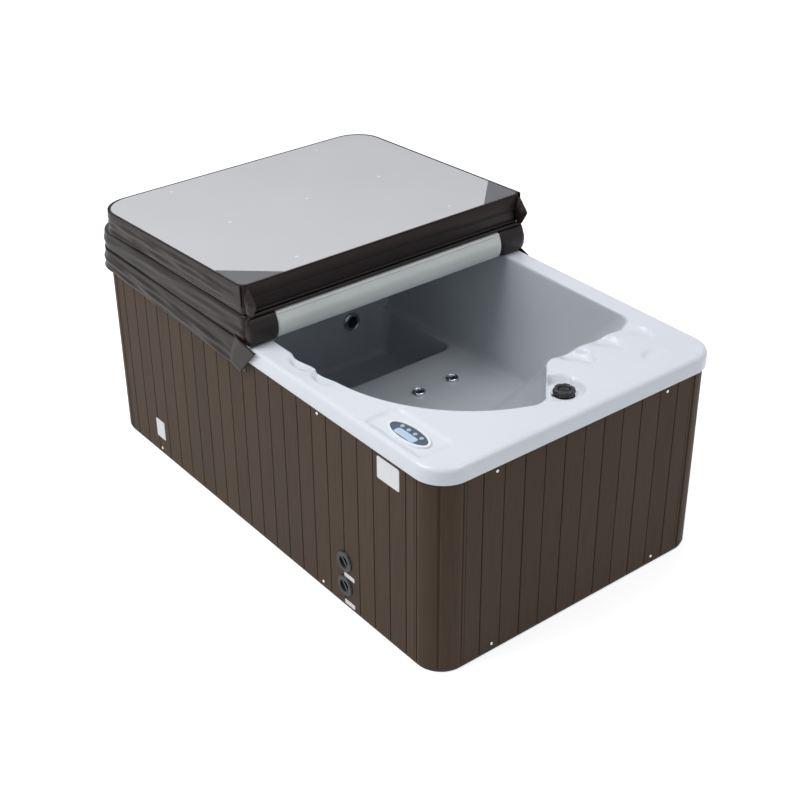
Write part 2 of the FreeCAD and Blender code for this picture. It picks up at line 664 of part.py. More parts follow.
for label, sx, sy in (("corner_front_left", -1, -1), ("corner_front_right", 1, -1),
                      ("corner_rear_left", -1, 1), ("corner_rear_right", 1, 1)):
    corner_piece(label, sx, sy)


# Jets: a barrel through the shell, a bright ring on the wall and a face that the bather turns
NOZZLE_SHARE = 0.52


def jet_body(bezel):
    outer, depth = jet_hole(bezel) - gap, size("jet_depth")
    return revolve([(0, -depth - size("jet_tail")), (outer, -depth), (outer, 0), (0, 0)])


def jet_ring(bezel):
    inner, crest = jet_hole(bezel) - gap - size("jet_wall"), size("ring_crest")
    return revolve([(inner, gap), (bezel, gap), (inner + size("jet_wall"), gap + crest),
                    (inner, gap + crest - size("jet_bevel"))])


def jet_face(bezel):
    """A twelve-sided ring, bevelled for the fingers, with an open nozzle."""
    outer, thick = jet_hole(bezel) - 2 * gap - size("jet_wall"), size("jet_thick")
    turns = [math.radians(30 * n) for n in range(13)]
    rim = Part.makePolygon([Vector(outer * math.cos(turn), outer * math.sin(turn), gap) for turn in turns])
    ring = prism(rim, thick)
    ring = ring.makeChamfer(size("jet_bevel"), edges_at(ring, gap + thick))
    return ring.cut(Part.makeCylinder(NOZZLE_SHARE * outer, thick, Vector(0, 0, gap)))


def jets():
    bodies, rings = [], []
    for label, (point, normal, bezel) in JETS.items():
        place = facing(point, normal)
        for shapes, make in ((bodies, jet_body), (rings, jet_ring)):
            shape = make(size(bezel))
            shape.Placement = place
            shapes.append(shape)
        feature(label, jet_face(size(bezel)), place)
    feature("jet_bodies", Part.makeCompound(bodies))
    feature("jet_rings", Part.makeCompound(rings))


jets()


# Control panel: an oval bezel and lens on the sunk pad, with four buttons
pad_floor = deck_top - size("pad_depth")
display_spot = Vector(left_edge + size("display_left"), front_edge + size("display_front"), pad_floor + gap)


def oval(shrink, height, low):
    """An oval plate along Y about the display's middle, drawn in by a border."""
    ring = Part.Ellipse(ZERO, size("display_long") / 2 - shrink, size("display_short") / 2 - shrink).toShape()
    ring.Placement = Placement(display_spot + Vector(0, 0, low), Rotation(Z_AXIS, 90))
    return prism(Part.Wire(ring), height)


def control_panel():
    border = size("bezel_border")
    bezel = oval(0, size("bezel_height"), 0)
    bezel = bezel.makeChamfer(1.5, edges_at(bezel, display_spot.z + size("bezel_height")))
    feature("control_bezel", bezel.cut(oval(border, 20, -5)))
    lens = oval(border + gap, size("lens_height"), 0)
    radius, rise = size("button_radius"), size("button_travel") + gap
    for n, label in enumerate(("button_jets", "button_light", "button_cooler", "button_warmer")):
        spot = display_spot + Vector(size("button_off"), (n - 1.5) * size("button_pitch"), 0)
        lens = lens.cut(Part.makeCylinder(radius + gap, 20, spot - Vector(0, 0, 5)))
        button = Part.makeCylinder(radius, size("button_height"), spot + Vector(0, 0, rise))
        top = edges_at(button, spot.z + rise + size("button_height"))
        feature(label, button.makeChamfer(0.8, top))
    feature("control_lens", lens)


control_panel()


# Diverter: a knob on a stem in its recess, with the valve under the deck
def diverter():
    body = doc.addObject("PartDesign::Body", "diverter_knob")
    lift = "(dims.escutcheon_height + 2 * dims.seat_gap)"
    base = pad(body, circle(body, "knob_disc", "dims.knob_radius", lift), "dims.knob_height", "knob_block")
    doc.recompute()
    top = size("escutcheon_height") + 2 * gap + size("knob_height")
    bevel_edges(body, base, "dims.knob_height / 6", "knob_bevel", level_at(top))
    dish = circle(body, "knob_dish", "dims.knob_radius * 0.45", f"{lift} + dims.knob_height")
    pocket(body, dish, "knob_hollow", "dims.knob_height * 0.4")
    doc.recompute()
    grip = circle(body, "knob_grip", "dims.grip_radius", f"{lift} + dims.knob_height",
                  "dims.knob_radius + dims.knob_reach")
    notch = pocket(body, grip, "knob_notch", "dims.knob_height")
    polar_row(body, notch, grip, 6, "knob_notches")
    stem = circle(body, "knob_stem_disc", "dims.stem_radius", f"{lift} - dims.stem_length")
    pad(body, stem, "dims.stem_length", "knob_stem")
    body.Placement = Placement(knob_spot, Rotation())
    keep(body, "diverter_knob")
    ring = revolve([(size("stem_radius") + gap, gap), (size("escutcheon_radius"), gap),
                    (size("escutcheon_radius") - 2, gap + size("escutcheon_height")),
                    (size("stem_radius") + gap, gap + size("escutcheon_height"))])
    feature("knob_escutcheon", ring, Placement(knob_spot, Rotation()))
    top_z = -size("cup_wall") - gap
    radius, length = size("valve_radius"), size("valve_length")
    bore = size("stem_radius") + gap
    stem_low = size("escutcheon_height") + 2 * gap - size("stem_length") - 1
    valve = revolve([(bore, top_z), (radius + 6, top_z), (radius + 6, top_z - 8), (radius, top_z - 8),
                     (radius, top_z - length), (0, top_z - length), (0, stem_low), (bore, stem_low)])
    branch_z, branch_radius = top_z - 0.65 * length, 0.7 * size("pipe_radius")
    for way in (-1, 1):
        start = Vector(way * (radius - size("pipe_wall")), 0, branch_z)
        valve = valve.fuse(Part.makeCylinder(branch_radius, size("stub"), start, X_AXIS * way))
    feature("diverter_valve", valve, Placement(knob_spot, Rotation()))


diverter()


# Suction fitting in the foot well's floor
def suction_fitting():
    body = doc.addObject("PartDesign::Body", "suction_grille")
    outline = circle(body, "grille_disc", "dims.suction_radius", "dims.seat_gap")
    disc = pad(body, outline, "dims.suction_height", "grille_block")
    top = gap + size("suction_height")
    bevel_edges(body, disc, "dims.suction_height / 2", "grille_bevel", level_at(top))
    slot = circle(body, "grille_slot", "dims.slot_width / 2", "dims.seat_gap + dims.suction_height",
                  "dims.suction_radius * 0.4")
    hole = pocket(body, slot, "grille_hole")
    polar_row(body, hole, slot, 8, "grille_holes")
    body.Placement = Placement(suction_spot, Rotation())
    keep(body, "suction_grille")
    bore, thick, flange = size("suction_bore"), size("suction_wall"), size("suction_flange")
    pipe, low = size("pipe_radius"), suction_spot.z - size("pump_z")
    floor = -low - pipe
    cup = revolve([(bore - thick, 0), (bore, 0), (bore, -wall - gap), (bore + flange, -wall - gap),
                   (bore + flange, -wall - flange), (bore, -wall - flange), (bore, floor - thick),
                   (0, floor - thick), (0, floor), (bore - thick, floor)])
    centre, front = Vector(0, 0, -low), -Y_AXIS
    collar = Part.makeCylinder(pipe + thick, bore + size("collar"), centre, front)
    collar = collar.cut(Part.makeCylinder(bore - 2, 2 * bore, Vector(0, 0, -low - bore)))
    outlet = Part.makeCylinder(pipe - size("pipe_wall"), bore + PROUD, centre, front)
    socket = Part.makeCylinder(pipe + gap, PROUD, centre + front * (bore + size("socket_start")), front)
    feature("suction_body", cup.fuse(collar).cut(outlet).cut(socket), Placement(suction_spot, Rotation()))


suction_fitting()


# Hose ports in the left panel: a flange with a barrel, and a cap with a bar to turn it by
def hose_ports():
    out = Vector(-1, 0, 0)
    bore, radius, flange = size("port_bore"), size("port_radius"), size("port_flange")
    thick, face = size("port_wall"), gap + flange
    barrel, depth = bore + thick, size("cap_depth")
    flanges = []
    for name in ("upper", "lower"):
        spot = Vector(-half_width, front_edge + size("port_front"), size("port_" + name))
        place = Placement(spot, Rotation(Z_AXIS, out))
        length = size("port_length")
        port = revolve([(bore, face), (radius - thick, face), (radius, face - thick), (radius, gap),
                        (barrel, gap), (barrel, -length), (0, -length), (0, thick - length),
                        (bore, thick - length)])
        port.Placement = place
        flanges.append(port)
        rim = flange - thick / 3
        cap = revolve([(0, -depth), (bore - gap, -depth), (bore - gap, rim), (bore - gap - thick, rim),
                       (bore - 2 * thick, thick - depth), (0, thick - depth)])
        half, run = size("bar_width") / 2, bore - thick
        bar = box((-run, -half, thick / 2 - depth), (run, half, flange - thick))
        bar.rotate(ZERO, Z_AXIS, size("bar_turn"))
        feature("hose_cap_" + name, cap.fuse(bar), place)
    feature("hose_ports", Part.makeCompound(flanges))


hose_ports()


# Equipment under the front backrest
pump_start = front_edge + size("motor_front")
pump_end = pump_start + size("motor_length")
pump_z, pipe = size("pump_z"), size("pipe_radius")
volute_end = pump_end + gap + size("volute_length")
volute_mid = pump_end + gap + size("volute_length") / 2
neck_top = pump_z + size("volute_radius") + size("stub")
ring_inside = ring_half_width - tube
box_x, box_y = well_x + size("volute_radius") + size("box_side"), front_edge + size("box_front")
box_top = base_top + size("box_height")
manifold_x = ring_inside - size("manifold_side")
heater_start, heater_y = box_x + size("heater_inset"), box_y + size("box_depth") / 2
heater_end = manifold_x - size("elbow_run")
heater_z = box_top + size("heater_radius") + size("heater_flange") + gap


def bevelled_drum(radius, length, start, bevel):
    """A cylinder along the tub, with both its edges bevelled."""
    drum = Part.makeCylinder(radius, length, Vector(well_x, start, pump_z), Y_AXIS)
    return drum.makeChamfer(bevel, [e for e in drum.Edges if e.BoundBox.YLength < 0.1])


def pump():
    """A ribbed motor on a cradle, with the wet end, its neck and the suction pipe."""
    radius, fin = size("motor_radius"), size("fin_height")
    motor = bevelled_drum(radius, size("motor_length"), pump_start, 0.18 * radius)
    for turn in (-75, -25, 25):
        rib = box((well_x - 0.3 * fin, pump_start + 9 * fin, pump_z + radius - fin),
                  (well_x + 0.3 * fin, pump_end - 6 * fin, pump_z + radius + fin))
        rib.rotate(Vector(well_x, pump_start, pump_z), Y_AXIS, turn)
        motor = motor.fuse(rib)
    feature("pump_motor", motor)
    half, inset = 0.83 * radius, 0.6 * radius
    cradle = box((well_x - half, pump_start + inset, base_top),
                 (well_x + half, pump_end - inset, pump_z - 0.3 * radius))
    hollow = Part.makeCylinder(radius + gap, size("motor_length"), Vector(well_x, pump_start, pump_z), Y_AXIS)
    feature("pump_cradle", cradle.cut(hollow))
    long, neck = size("volute_length"), pipe + size("pipe_wall")
    wet_end = bevelled_drum(size("volute_radius"), long, pump_end + gap, long / 6)
    inlet = Part.makeCylinder(neck, long / 2 + size("stub"), Vector(well_x, volute_mid, pump_z), Y_AXIS)
    outlet = Part.makeCylinder(neck, neck_top - pump_z, Vector(well_x, volute_mid, pump_z))
    feature("pump_wet_end", wet_end.fuse([inlet, outlet]))
    start = Vector(well_x, volute_end + size("stub") + gap, pump_z)
    run = suction_spot.y - size("suction_bore") - size("socket_start") - gap - start.y
    outside = Part.makeCylinder(pipe, run, start, Y_AXIS)
    feature("suction_pipe", outside.cut(Part.makeCylinder(pipe - size("pipe_wall"), run, start, Y_AXIS)))


def heater():
    """The control box with the heater on it, and the pipes from the pump and to the jets."""
    case = box((box_x, box_y, base_top), (box_x + size("box_length"), box_y + size("box_depth"), box_top))
    feature("control_box", case.makeFillet(size("heater_flange"), [e for e in case.Edges if is_upright(e)]))
    radius, width = size("heater_radius"), size("flange_width")
    start = Vector(heater_start, heater_y, heater_z)
    run = heater_end - heater_start
    core = Part.makeCylinder(radius, run, start, X_AXIS)
    flanges = [Part.makeCylinder(radius + size("heater_flange"), width, start + X_AXIS * off, X_AXIS)
               for off in (0, run - width)]
    feature("heater_tube", core.fuse(flanges))
    rise = [(well_x, volute_mid, neck_top + gap), (well_x, volute_mid, heater_z), (well_x, heater_y, heater_z),
            (heater_start - gap, heater_y, heater_z)]
    feature("return_pipe", elbowed_pipe(rise, pipe))
    spread = [(heater_end + gap, heater_y, heater_z), (manifold_x, heater_y, heater_z),
              (manifold_x, well_y - size("manifold_front"), heater_z)]
    feature("jet_manifold", elbowed_pipe(spread, pipe))


def air_blower():
    radius, height = size("blower_radius"), size("blower_height")
    blower = revolve([(0, 0), (radius, 0), (radius, 0.6 * height), (0.63 * radius, height), (0, height)])
    blower = blower.fuse(Part.makeCylinder(0.8 * pipe, 1.5 * radius, Vector(0, 0, 0.3 * height), Y_AXIS))
    spot = Vector(size("blower_side") - ring_inside, front_edge + size("blower_front"), base_top + gap)
    feature("air_blower", blower, Placement(spot, Rotation()))


pump()
heater()
air_blower()


# Cover: two tapered foam halves with a liner below, hung flaps and a seal at the fold
cover_half = right_edge + size("cover_side")
cover_low = deck_top + gap
foam_low = cover_low + size("liner_thick") + size("liner_gap")
fold_z = deck_top + size("cover_thick") + size("fold_clear")
rear_face, front_face = size("fold_y") + size("fold_face"), size("fold_y") - size("fold_face")
rear_far, front_far = rear_edge + size("cover_side"), front_edge - size("cover_side")
taper = math.atan(size("cover_taper") / (rear_far - size("fold_y")))
# The front half is drawn closed, then folded back by half a turn and both tapers
fold_turn = -(180 + 2 * math.degrees(taper))
fold_axis_point = Vector(0, size("fold_y"), fold_z)
folded = Placement(ZERO, Rotation(X_AXIS, fold_turn), fold_axis_point)


def cover_plan(grow, near, far, height):
    """Plan of one cover half: square at the fold, with two round corners at its far end."""
    half, radius = cover_half + grow, size("cover_corner") + grow
    way = 1 if far > near else -1
    end = far + way * grow
    nook = radius * (1 - math.sqrt(0.5))
    right = [Vector(half, end - way * radius, height), Vector(half - nook, end - way * nook, height),
             Vector(half - radius, end, height)]
    left = [Vector(-p.x, p.y, height) for p in reversed(right)]
    starts = [Vector(half, near, height), Vector(-half, near, height)]
    return Part.Wire([Part.makeLine(starts[0], right[0]), arc(*right), Part.makeLine(right[2], left[0]),
                      arc(*left), Part.makeLine(left[2], starts[1]), Part.makeLine(starts[1], starts[0])])


def foam_half(near, far):
    """A foam half, thickest at the fold: its side view between the ends, cut to the plan."""
    drop = math.tan(taper)
    fold_y, top = size("fold_y"), deck_top + size("cover_thick")
    side = Part.makePolygon([Vector(0, near, foam_low), Vector(0, far, foam_low),
                             Vector(0, far, top - drop * abs(far - fold_y)),
                             Vector(0, near, top - drop * abs(near - fold_y)), Vector(0, near, foam_low)])
    wedge = Part.Face(side).extrude(X_AXIS * 2 * cover_half)
    wedge.translate(X_AXIS * -cover_half)
    return wedge.common(prism(cover_plan(0, near, far, foam_low), size("cover_thick")))


def flap(near, far, thick, low, high):
    """A hung flap round three sides of a cover half."""
    outer = prism(cover_plan(gap + thick, near, far, low), high - low)
    open_end = 2 * near - far
    inner = cover_plan(gap, open_end, far, low)
    return outer.cut(prism(inner, high - low))


def flap_tab(side):
    """The flap's end piece beside the fold, cut to a slant."""
    fold_y, tip_z = size("fold_y"), deck_top + size("tab_tip_rise")
    low, high = cover_low - size("flap_rear") - size("tab_drop"), deck_top + size("tab_rise")
    back = fold_y + size("tab_back")
    corners = [(fold_y - size("tab_tip"), tip_z), (fold_y + size("tab_foot"), low), (back, low),
               (back, high - size("tab_slope")), (fold_y + size("tab_top"), high)]
    outline = Part.makePolygon([Vector(0, y, z) for y, z in corners + corners[:1]])
    tab = Part.Face(outline).extrude(X_AXIS * side * size("tab_thick"))
    tab.translate(X_AXIS * side * (cover_half + 2 * gap + size("flap_thick")))
    return tab


def cover():
    liner_up = Vector(0, 0, size("liner_thick"))
    feature("cover_rear_foam", foam_half(rear_face, rear_far))
    feature("cover_rear_liner", Part.Face(cover_plan(0, rear_face, rear_far, cover_low)).extrude(liner_up))
    feature("cover_rear_flap", flap(rear_face, rear_far, size("flap_thick"), cover_low - size("flap_rear"),
                                    foam_low + size("flap_lap")))
    feature("cover_flap_tabs", Part.makeCompound([flap_tab(-1), flap_tab(1)]))
    seal_half, seal_end = cover_half - size("seal_end"), cover_half - size("seal_short")
    seal_low, seal_high = foam_low + size("seal_low"), deck_top + size("cover_thick") - size("seal_top")
    seal_front = rear_face - size("seal_thick")
    seal = box((-seal_half, seal_front, seal_low), (seal_half, rear_face, seal_high))
    boxes = [(edge, edge.BoundBox) for edge in seal.Edges]
    long_front = [e for e, b in boxes if b.YMax < seal_front + 0.1 and b.XLength > seal_half]
    feature("cover_seal", seal.makeFillet(0.8 * size("seal_thick"), long_front))
    cap = box((seal_half + gap, seal_front, seal_low), (seal_end, rear_face, seal_high))
    feature("cover_seal_ends", Part.makeCompound([cap, cap.mirror(ZERO, X_AXIS)]))
    feature("cover_front_foam", foam_half(front_face, front_far), folded)
    liner = Part.Face(cover_plan(0, front_face, front_far, cover_low)).extrude(liner_up)
    near_row, middle_row = size("fold_y") - size("grommet_near"), size("fold_y") - size("grommet_middle")
    far_row = front_far + size("grommet_far")
    places = [(x, y) for y in (near_row, middle_row, far_row) for x in (-1, 1)] + [(0, middle_row)]
    grommets = []
    for across, y in places:
        spot = Vector(across * size("grommet_pitch"), y, cover_low)
        liner = liner.cut(Part.makeCylinder(size("grommet_radius") + gap, size("liner_thick"), spot))
        grommets.append(Part.makeCylinder(size("grommet_radius"), size("liner_thick"), spot))
    feature("cover_front_liner", liner, folded)
    feature("cover_grommets", Part.makeCompound(grommets), folded)
    drop = size("flap_front")
    thick = size("flap_front_thick")
    start = front_face - size("flap_short")
    feature("cover_front_flap", flap(start, front_far, thick, cover_low, cover_low + drop), folded)
    out = front_far - gap - thick - gap
    mid = cover_low + drop / 2
    half, rise = size("handle_length") / 2, size("handle_height") / 2
    handles = [box((x - half, out - size("handle_thick"), mid - rise), (x + half, out, mid + rise))
               for x in (-size("handle_x"), size("handle_x"))]
    feature("cover_handles", Part.makeCompound(handles), folded)
    half_run = cover_half - size("welt_short")
    start = fold_axis_point - X_AXIS * half_run
    feature("cover_fold_welt", Part.makeCylinder(size("welt_radius"), 2 * half_run, start, X_AXIS))


cover()
doc.recompute()

os.makedirs("parts", exist_ok=True)
for thing in doc.Objects:
    if "Invalid" in thing.State or "Error" in thing.State:
        raise RuntimeError(f"{thing.Label} failed: {thing.State}")
for thing in sub_parts:
    if thing.Shape.isNull() or not thing.Shape.isValid() or not thing.Shape.Solids:
        raise RuntimeError(f"{thing.Label} has no valid solid")
    thing.Shape.exportStep(f"parts/{thing.Label}.step")
print(len(sub_parts), "sub-parts, fold turn", fold_turn, "fold axis", fold_axis_point)
for label, (point, normal, bezel) in JETS.items():
    print(label, [round(v, 4) for v in point], [round(v, 6) for v in normal])
print("knob", knob_spot, "display", display_spot, "suction", suction_spot)
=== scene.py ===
# %% [markdown]
# # A two-person hot tub with a folding cover
#
# The construction comes in as a fixed frame: every rigid piece at its real size, on the body that
# carries it. This lesson gives each piece its finish and models what a plain solid can't show: the
# smooth acrylic shell, the stitched vinyl cover, the jets and the small fittings.

# %% Load the frame
import json
import math

import bpy
import numpy as np
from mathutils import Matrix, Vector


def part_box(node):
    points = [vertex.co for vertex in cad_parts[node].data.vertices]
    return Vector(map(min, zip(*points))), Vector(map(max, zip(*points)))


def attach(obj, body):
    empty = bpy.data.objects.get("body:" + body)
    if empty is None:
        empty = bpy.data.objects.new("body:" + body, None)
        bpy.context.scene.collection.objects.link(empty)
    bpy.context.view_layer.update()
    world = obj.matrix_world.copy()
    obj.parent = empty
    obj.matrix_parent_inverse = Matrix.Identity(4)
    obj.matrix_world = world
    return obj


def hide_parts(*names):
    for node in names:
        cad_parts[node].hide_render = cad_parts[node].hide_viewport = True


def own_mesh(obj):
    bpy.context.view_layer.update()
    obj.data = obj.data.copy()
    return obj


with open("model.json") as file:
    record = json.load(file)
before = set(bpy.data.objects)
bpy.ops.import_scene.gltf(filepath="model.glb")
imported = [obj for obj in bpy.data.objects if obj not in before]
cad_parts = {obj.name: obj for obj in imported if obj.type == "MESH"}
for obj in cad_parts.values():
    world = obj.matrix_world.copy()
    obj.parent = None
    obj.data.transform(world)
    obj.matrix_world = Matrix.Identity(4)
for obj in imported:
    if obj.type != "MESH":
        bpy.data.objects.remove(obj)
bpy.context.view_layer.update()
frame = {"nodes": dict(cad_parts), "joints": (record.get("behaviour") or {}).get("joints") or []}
nodes = frame["nodes"]
joints = {joint["name"]: joint for joint in frame["joints"]}
MM = 0.001

# %% [markdown]
# ## Helpers for surfaces
#
# A piece is a grid of points: rows follow one parameter, columns the other. Whole arrays are worked
# out at once, then joined by four-sided faces. A piece could also be sculpted by hand, but a formula
# keeps its real size and can be changed in one place.

# %% Faces of a grid
def grid_quads(rows, columns, wrap=True):
    """Faces between neighbouring points of a grid; wrap joins the last column to the first."""
    row = np.arange(rows - 1)[:, None]
    column = np.arange(columns if wrap else columns - 1)[None, :]
    ahead = (column + 1) % columns
    corners = [row * columns + column, row * columns + ahead,
               (row + 1) * columns + ahead, (row + 1) * columns + column]
    return np.stack(np.broadcast_arrays(*corners), -1).reshape(-1, 4).tolist()


def capped_quads(rows, columns):
    """The faces of a tube-like grid, with its first and last rows closed by one face each."""
    first = list(range(columns))
    last = list(range((rows - 1) * columns, rows * columns))
    return grid_quads(rows, columns) + [first[::-1], last]


def volume_of(points, faces):
    """Six times the volume that the faces enclose, by adding up the tetrahedra to the origin."""
    total = 0.0
    for size in {len(face) for face in faces}:
        same = np.array([face for face in faces if len(face) == size])
        for step in range(1, size - 1):
            a, b, c = points[same[:, 0]], points[same[:, step]], points[same[:, step + 1]]
            total += float((a * np.cross(b, c)).sum())
    return total


# %% [markdown]
# Every piece is made by one function, which turns its faces outwards, shades it smooth up to a given angle
# and says which body it rides on.

# %% Pieces
# Faces that meet at more than this many degrees show an edge: on hard parts, the shell, the seal and vinyl
HARD_EDGE, SHELL_EDGE, SEAL_EDGE, VINYL_EDGE = 40, 60, 70, 80


def add_piece(name, points, faces, finish, body, slot, sharp=HARD_EDGE):
    """Makes a smooth-shaded mesh, its faces outwards, that rides on a body."""
    points = np.asarray(points, float).reshape(-1, 3)
    middle = points.mean(0)
    if volume_of(points - middle, faces) < 0:
        faces = [face[::-1] for face in faces]
    mesh = bpy.data.meshes.new(name)
    mesh.from_pydata(points.tolist(), [], faces)
    mesh.polygons.foreach_set("use_smooth", np.ones(len(mesh.polygons), bool))
    mesh.set_sharp_from_angle(angle=math.radians(sharp))
    mesh.materials.append(finish)
    piece = bpy.data.objects.new(name, mesh)
    bpy.context.scene.collection.objects.link(piece)
    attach(piece, body)
    print("piece", name, "with", len(faces), "faces")
    return piece


def add_closed(name, grid, *rest):
    """Makes a piece from a tube-like grid whose ends are closed."""
    return add_piece(name, grid, capped_quads(*grid.shape[:2]), *rest)


def joined(shapes):
    """Puts several shapes, each given as its points and its faces, into one mesh."""
    starts = np.cumsum([0] + [len(points) for points, faces in shapes]).tolist()
    many = [[start + corner for corner in face] for start, (_, own) in zip(starts, shapes) for face in own]
    return np.vstack([points for points, faces in shapes]), many


def face_middles(piece):
    """The middle of each face of a piece, as one array."""
    faces = piece.data.polygons
    middles = np.empty(3 * len(faces), np.float32)
    faces.foreach_get("center", middles)
    return middles.reshape(-1, 3).astype(float)


# %% [markdown]
# A bend could be drawn with Bezier handles. A formula with a reach in millimetres rounds every corner of an
# outline in the same way, and a walk at an even pace gives neighbouring outlines the same points.

# %% Curves
# A curve takes at most this share of the runs beside its corner
CORNER_SHARE = 0.48


def soften(corners, reach, steps=5):
    """Rounds an open polyline: each inner corner p becomes the curve (1-t)^2 a + 2t(1-t) p + t^2 b."""
    p = np.asarray(corners, float)
    back, ahead = p[:-2] - p[1:-1], p[2:] - p[1:-1]
    back_long = np.linalg.norm(back, axis=1, keepdims=True)
    ahead_long = np.linalg.norm(ahead, axis=1, keepdims=True)
    a = p[1:-1] + back / back_long * np.minimum(reach, CORNER_SHARE * back_long)
    b = p[1:-1] + ahead / ahead_long * np.minimum(reach, CORNER_SHARE * ahead_long)
    t = np.linspace(0, 1, steps)[None, :, None]
    curve = (1 - t) ** 2 * a[:, None] + 2 * t * (1 - t) * p[1:-1, None] + t ** 2 * b[:, None]
    return np.vstack([p[:1], curve.reshape(-1, p.shape[1]), p[-1:]])


def walk(points, count, closed=True):
    """Points at an even pace along a polyline."""
    path = np.vstack([points, points[:1]]) if closed else np.asarray(points)
    reach = np.concatenate([[0], np.cumsum(np.linalg.norm(np.diff(path, axis=0), axis=1))])
    at = np.linspace(0, reach[-1], count, endpoint=not closed)
    return np.stack([np.interp(at, reach, path[:, k]) for k in range(path.shape[1])], -1)


def smooth_step(value):
    """Goes from 0 to 1 as the value does, level at both ends: v^2 (3 - 2v)."""
    v = np.clip(value, 0, 1)
    return v * v * (3 - 2 * v)


# %% [markdown]
# Screws, jets and the knob are turned parts, piping is a round section along a line, and stitches are one
# small shape in many places. Modifiers could do the same, but arrays keep each part's place in its mesh.

# %% Turned shapes, tubes and copies
# A side that never lies along the path: one for level paths, one for steep ones
LEVEL_SIDE, STEEP_SIDE = np.array([0.13, 0.21, 1.0]), np.array([0.2, 1.0, 0.1])


def turned(profile, sides=48):
    """Turns (radius, height) points about Z: point = (r cos u, r sin u, z)."""
    u = np.linspace(0, 2 * np.pi, sides, endpoint=False)
    r, z = np.asarray(profile, float).T[:, :, None]
    return np.stack([r * np.cos(u), r * np.sin(u), z + 0 * u], -1).reshape(-1, 3)


def stood(points, spot, normal):
    """Moves points drawn along +Z so that they stand on a spot along a direction."""
    way = np.asarray(normal, float) / np.linalg.norm(normal)
    across = np.cross([1.0, 0, 0] if abs(way[0]) < 0.9 else [0, 1.0, 0], way)
    across /= np.linalg.norm(across)
    turn = np.stack([np.cross(across, way), across, way])
    return points @ turn + np.asarray(spot)


def tube(path, radius, sides=12):
    """A round section carried along an open path; its frame comes from the tangent and one steady side."""
    path = np.asarray(path, float)
    along = np.gradient(path, axis=0)
    along /= np.linalg.norm(along, axis=1, keepdims=True)
    steady = LEVEL_SIDE if abs(along[:, 2]).max() < 0.9 else STEEP_SIDE
    side = np.cross(along, steady)
    side /= np.linalg.norm(side, axis=1, keepdims=True)
    up = np.cross(side, along)
    u = np.linspace(0, 2 * np.pi, sides, endpoint=False)
    ring = side[:, None] * np.cos(u)[:, None] + up[:, None] * np.sin(u)[:, None]
    return path[:, None] + np.broadcast_to(radius, len(path))[:, None, None] * ring


def scatter(points, faces, spots):
    """Copies a small shape to many spots, as one mesh."""
    spots = np.asarray(spots, float)
    copies = spots[:, None] + np.asarray(points)[None]
    many = [[k * len(points) + corner for corner in face] for k in range(len(spots)) for face in faces]
    return copies.reshape(-1, 3), many


# %% [markdown]
# ## Helpers for finishes
#
# Every finish is a Principled shader with a few pattern nodes. Colours are written as they look on a
# screen and turned to linear light once. One small function adds any node, so a finish reads as a list.

# %% Colours and nodes
def linear(code):
    """An sRGB hex colour as linear red, green, blue and alpha."""
    parts = [int(code[k:k + 2], 16) / 255 for k in (1, 3, 5)]
    return (*[v / 12.92 if v <= 0.04045 else ((v + 0.055) / 1.055) ** 2.4 for v in parts], 1.0)


def add_node(tree, kind, inputs, **properties):
    """Adds one node, sets its properties, and sets or links its inputs by name or number."""
    made = tree.nodes.new("ShaderNode" + kind)
    for name, value in properties.items():
        setattr(made, name, value)
    for name, value in inputs.items():
        if isinstance(value, bpy.types.NodeSocket):
            tree.links.new(value, made.inputs[name])
        else:
            made.inputs[name].default_value = value
    return made


def new_finish(name, **settings):
    """A material with its node tree and its shader, whose plain values are set by socket name."""
    material = bpy.data.materials.new(name)
    material.use_nodes = True
    shader = material.node_tree.nodes["Principled BSDF"]
    for socket, value in settings.items():
        shader.inputs[socket.replace("_", " ")].default_value = value
    print("finish", name)
    return material, material.node_tree, shader


def per_metre(millimetres):
    """A texture's scale from the real size of its pattern."""
    return 1 / (millimetres * MM)


def blotched(tree, shader, dark, light, cell, coords, detail=4.0):
    """Lets the colour drift between two tones in blotches of a real size."""
    noise = add_node(tree, "TexNoise", {"Vector": coords, "Scale": per_metre(cell), "Detail": detail})
    tone = add_node(tree, "Mix", {0: noise.outputs["Fac"], 6: linear(dark), 7: linear(light)},
                    data_type="RGBA")
    tree.links.new(tone.outputs[2], shader.inputs["Base Color"])


def bumped(tree, shader, height, depth, strength=1.0):
    """Raises the surface by a pattern, by a real depth in millimetres."""
    bump = add_node(tree, "Bump", {"Height": height, "Distance": depth * MM, "Strength": strength})
    tree.links.new(bump.outputs["Normal"], shader.inputs["Normal"])


def object_coords(tree):
    """Places in the piece's own space, in metres."""
    return add_node(tree, "TexCoord", {}).outputs["Object"]
